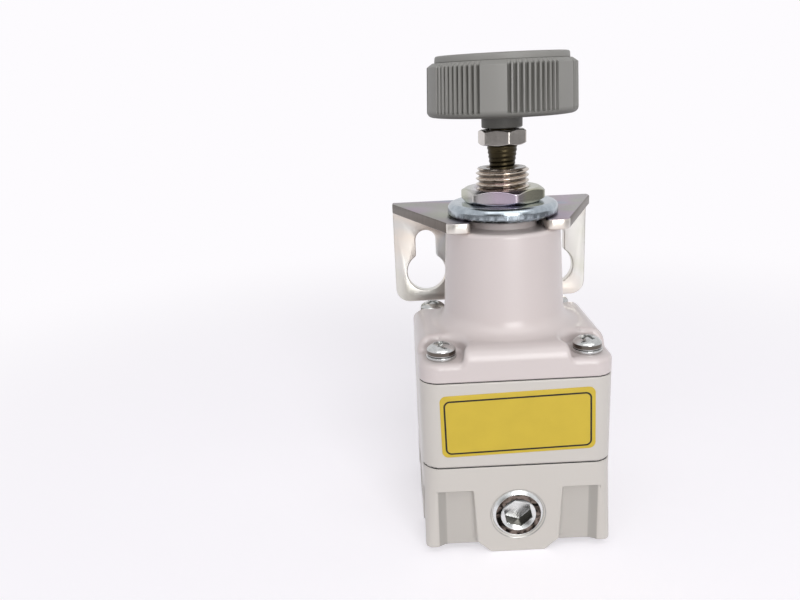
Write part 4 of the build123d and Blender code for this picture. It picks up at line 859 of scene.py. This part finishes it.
film_grid = []
for inset, lift in ((0.0, 0.0), (0.0, 0.08), (0.08, 0.1), (1.0, 0.1), (3.0, 0.1), (5.9, 0.1)):
    outline = rounded_rectangle(sticker_width, sticker_height, sticker_corner, inset)
    film_grid.append(np.column_stack([outline, np.full(len(outline), lift)]))
film_grid.append(np.clip(film_grid[-1], (-8, 0, 0), (8, 0, 1)))
film = surface("yellow_sticker", np.array(film_grid), smooth_angle=40)
set_down(film, facing(0, sticker_middle) @ spun(sticker_tilt))

yellow_film, tree, shader, place = new_material("printed_yellow_film", Roughness=0.5, IOR=1.45)
# vinyl film with a dull varnish, its yellow a little uneven over 3 mm
tone = mottled(tree, place, 3.333, 3.0, "#d8bd3f", "#cdb23a")[1]
# the frame line is printed within 0.14 mm of a rounded rectangle, 0.22 mm below the sticker's middle
lowered = add(tree, "VectorMath", (place, (0.0, 0.0, sticker_middle)), operation="SUBTRACT")
straight = add(tree, "Mapping", {"Vector": lowered, "Location": (0, 0, line_drop),
                                 "Rotation": (0, np.radians(sticker_tilt), 0)})
axis = add(tree, "SeparateXYZ", (straight,)).outputs
off_line = past_edge(tree, axis[0], axis[2], line_width, line_height, line_corner)
near_line = add(tree, "Math", (off_line,), operation="ABSOLUTE")
ink = add(tree, "MapRange", (near_line, line_half + 0.05, line_half))
feed(shader, {"Base Color": add(tree, "Mix", {0: ink, 6: tone, 7: linear("#0d0a04")}, data_type="RGBA")})
wear(film, yellow_film)
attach(film, "housing")
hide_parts("sticker")


# Inner works: brass valve, spool, nozzle and guide, aluminium plates, and steel springs and nuts.
# They stay as the CAD gives them, and only the valve guide shows, in the foot.

brass, tree, shader, place = new_material("turned_brass", Metallic=1.0, Roughness=0.28)
# free-cutting brass off the lathe: a warm gloss with tool marks of about 1.2 mm
feed(shader, {"Base Color": mottled(tree, place, 1.25, 4.0, "#c9a862", "#a88846")[1]})
for name in ("valve_guide", "supply_valve", "relay_spool", "nozzle", "fixed_orifice"):
    wear(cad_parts[name], brass)
for name in ("exhaust_ring", "relay_upper_plate", "relay_lower_plate", "diaphragm_plate"):
    wear(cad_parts[name], bare_aluminium)
for name in ("flapper", "flapper_nut", "relay_nut", "upper_spring_seat", "setting_spring", "valve_spring"):
    wear(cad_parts[name], nut_plate)


# Studio: a pale floor, an even pale room, and one large soft lamp in front, above and a little to the
# right, with the camera close to the object and looking down on it.

reach = 3000
floor = new_object("floor", [(-reach, -reach, 0), (reach, -reach, 0), (reach, reach, 0), (-reach, reach, 0)],
                   [[0, 1, 2, 3]])
floor_paper = bpy.data.materials.new("white_paper")
floor_paper.use_nodes = True
tree = floor_paper.node_tree
tree.nodes.remove(tree.nodes["Principled BSDF"])
ray = add(tree, "LightPath").outputs
seen = add(tree, "Math", (ray["Is Camera Ray"], ray["Is Glossy Ray"]), operation="MAXIMUM")
clear = add(tree, "Math", (seen, ray["Is Transmission Ray"]), operation="MAXIMUM")
spot = add(tree, "TexCoord").outputs["Object"]
distance = add(tree, "VectorMath", (spot,), operation="LENGTH")
far = add(tree, "MapRange", (distance, 0.08, 0.26), interpolation_type="SMOOTHSTEP")
# to a reflection the sheet fades into a dim room, 0.4 to 0.6 m in front and 0.2 to 0.35 m to each side
at = add(tree, "SeparateXYZ", (spot,)).outputs
aside = add(tree, "Math", (at[0],), operation="ABSOLUTE")
in_width = add(tree, "MapRange", (aside, 0.35, 0.2, 0.15))
in_depth = add(tree, "MapRange", (at[1], -0.6, -0.4, 0.15))
sheet = add(tree, "Math", (in_width, in_depth), operation="MINIMUM")
behind = add(tree, "MapRange", (at[1], 0.0, 0.2))
pale = add(tree, "Math", (sheet, behind), operation="MAXIMUM")
level = add(tree, "Math", (pale, ray["Is Camera Ray"]), operation="MAXIMUM")
blank = add(tree, "Math", (far, clear), operation="MULTIPLY")
lift = add(tree, "Math", (clear, 0.45), operation="MULTIPLY")
paper = add(tree, "BsdfDiffuse", {"Color": linear("#dfdde1")})
glow = add(tree, "Emission", {"Color": linear("#fdfbff"), "Strength": lift})
white = add(tree, "Emission", {"Color": linear("#fdfbfe"), "Strength": level})
floor_look = add(tree, "MixShader", (blank, add(tree, "AddShader", (paper, glow)), white))
feed(tree.nodes["Material Output"], {"Surface": floor_look})
wear(floor, floor_paper)

world = bpy.data.worlds.new("pale_room")
bpy.context.scene.world = world
world.use_nodes = True
tree = world.node_tree
tree.nodes.clear()
ray = add(tree, "LightPath").outputs
toward = add(tree, "SeparateXYZ", (add(tree, "TexCoord").outputs["Generated"],)).outputs
back, left = add(tree, "MapRange", (toward[1], -0.35, 0.15)), add(tree, "MapRange", (toward[0], -0.4, -0.8))
pale_side = add(tree, "Math", (back, left), operation="MAXIMUM")
wall = add(tree, "Mix", {0: pale_side, 6: linear("#504e4c"), 7: linear("#faf9fb")}, data_type="RGBA")
high = add(tree, "MapRange", (toward[2], 0.3, 0.75))
room = add(tree, "Mix", {0: high, 6: wall, 7: linear("#858486")}, data_type="RGBA")
# to a reflection the room is pale all round and above, but for a dim patch low in front
front, low = add(tree, "MapRange", (toward[1], -0.6, -0.8)), add(tree, "MapRange", (toward[2], 0.5, 0.3))
patch = add(tree, "Math", (front, low), operation="MULTIPLY")
mirrored = add(tree, "Mix", {0: patch, 6: linear("#eeeef0"), 7: linear("#504e4c")}, data_type="RGBA")
lit_room = add(tree, "Mix", {0: ray["Is Glossy Ray"], 6: room, 7: mirrored}, data_type="RGBA")
light = add(tree, "Mix", {0: ray["Is Camera Ray"], 6: lit_room, 7: linear("#fdfbfe")}, data_type="RGBA")
add(tree, "OutputWorld", {"Surface": add(tree, "Background", {"Color": light, "Strength": 1.0})})


def soft_lamp(name, place, target, width, height, power):
    """Rectangular lamp at place, in metres, its back turned away from target and its width level."""
    lamp = bpy.data.lights.new(name, "AREA")
    lamp.shape = "RECTANGLE"
    lamp.size = width
    lamp.size_y = height
    lamp.energy = power
    holder = bpy.data.objects.new(name, lamp)
    bpy.context.collection.objects.link(holder)
    back = np.array(place) - np.array(target)
    back = back / np.linalg.norm(back)
    right = np.cross((0, 0, 1), back)
    right = right / np.linalg.norm(right)
    axes = np.column_stack([right, np.cross(back, right), back])
    holder.matrix_world = Matrix.Translation(place) @ Matrix(axes.tolist()).to_4x4()


body_middle = (0, 0, 0.045)
soft_lamp("key", (0.15, -0.74, 0.28), body_middle, 0.36, 0.56, 3.4)
soft_lamp("upper", (0.03, -0.36, 0.66), body_middle, 1.0, 0.3, 1.4)

camera_data = bpy.data.cameras.new("camera")
camera_data.lens = 33.76
camera_data.sensor_width = 36
camera_data.clip_start = 0.005
camera = bpy.data.objects.new("camera", camera_data)
bpy.context.collection.objects.link(camera)
camera_pan, camera_dip, camera_roll = -0.112, 16.469, -2.751
camera.matrix_world = (shift(-20.516, -140.944, 87.528) @ spun(camera_pan) @ spun(90 - camera_dip, "X")
                       @ spun(camera_roll))
bpy.context.scene.camera = camera
bpy.context.scene.view_settings.view_transform = "Standard"
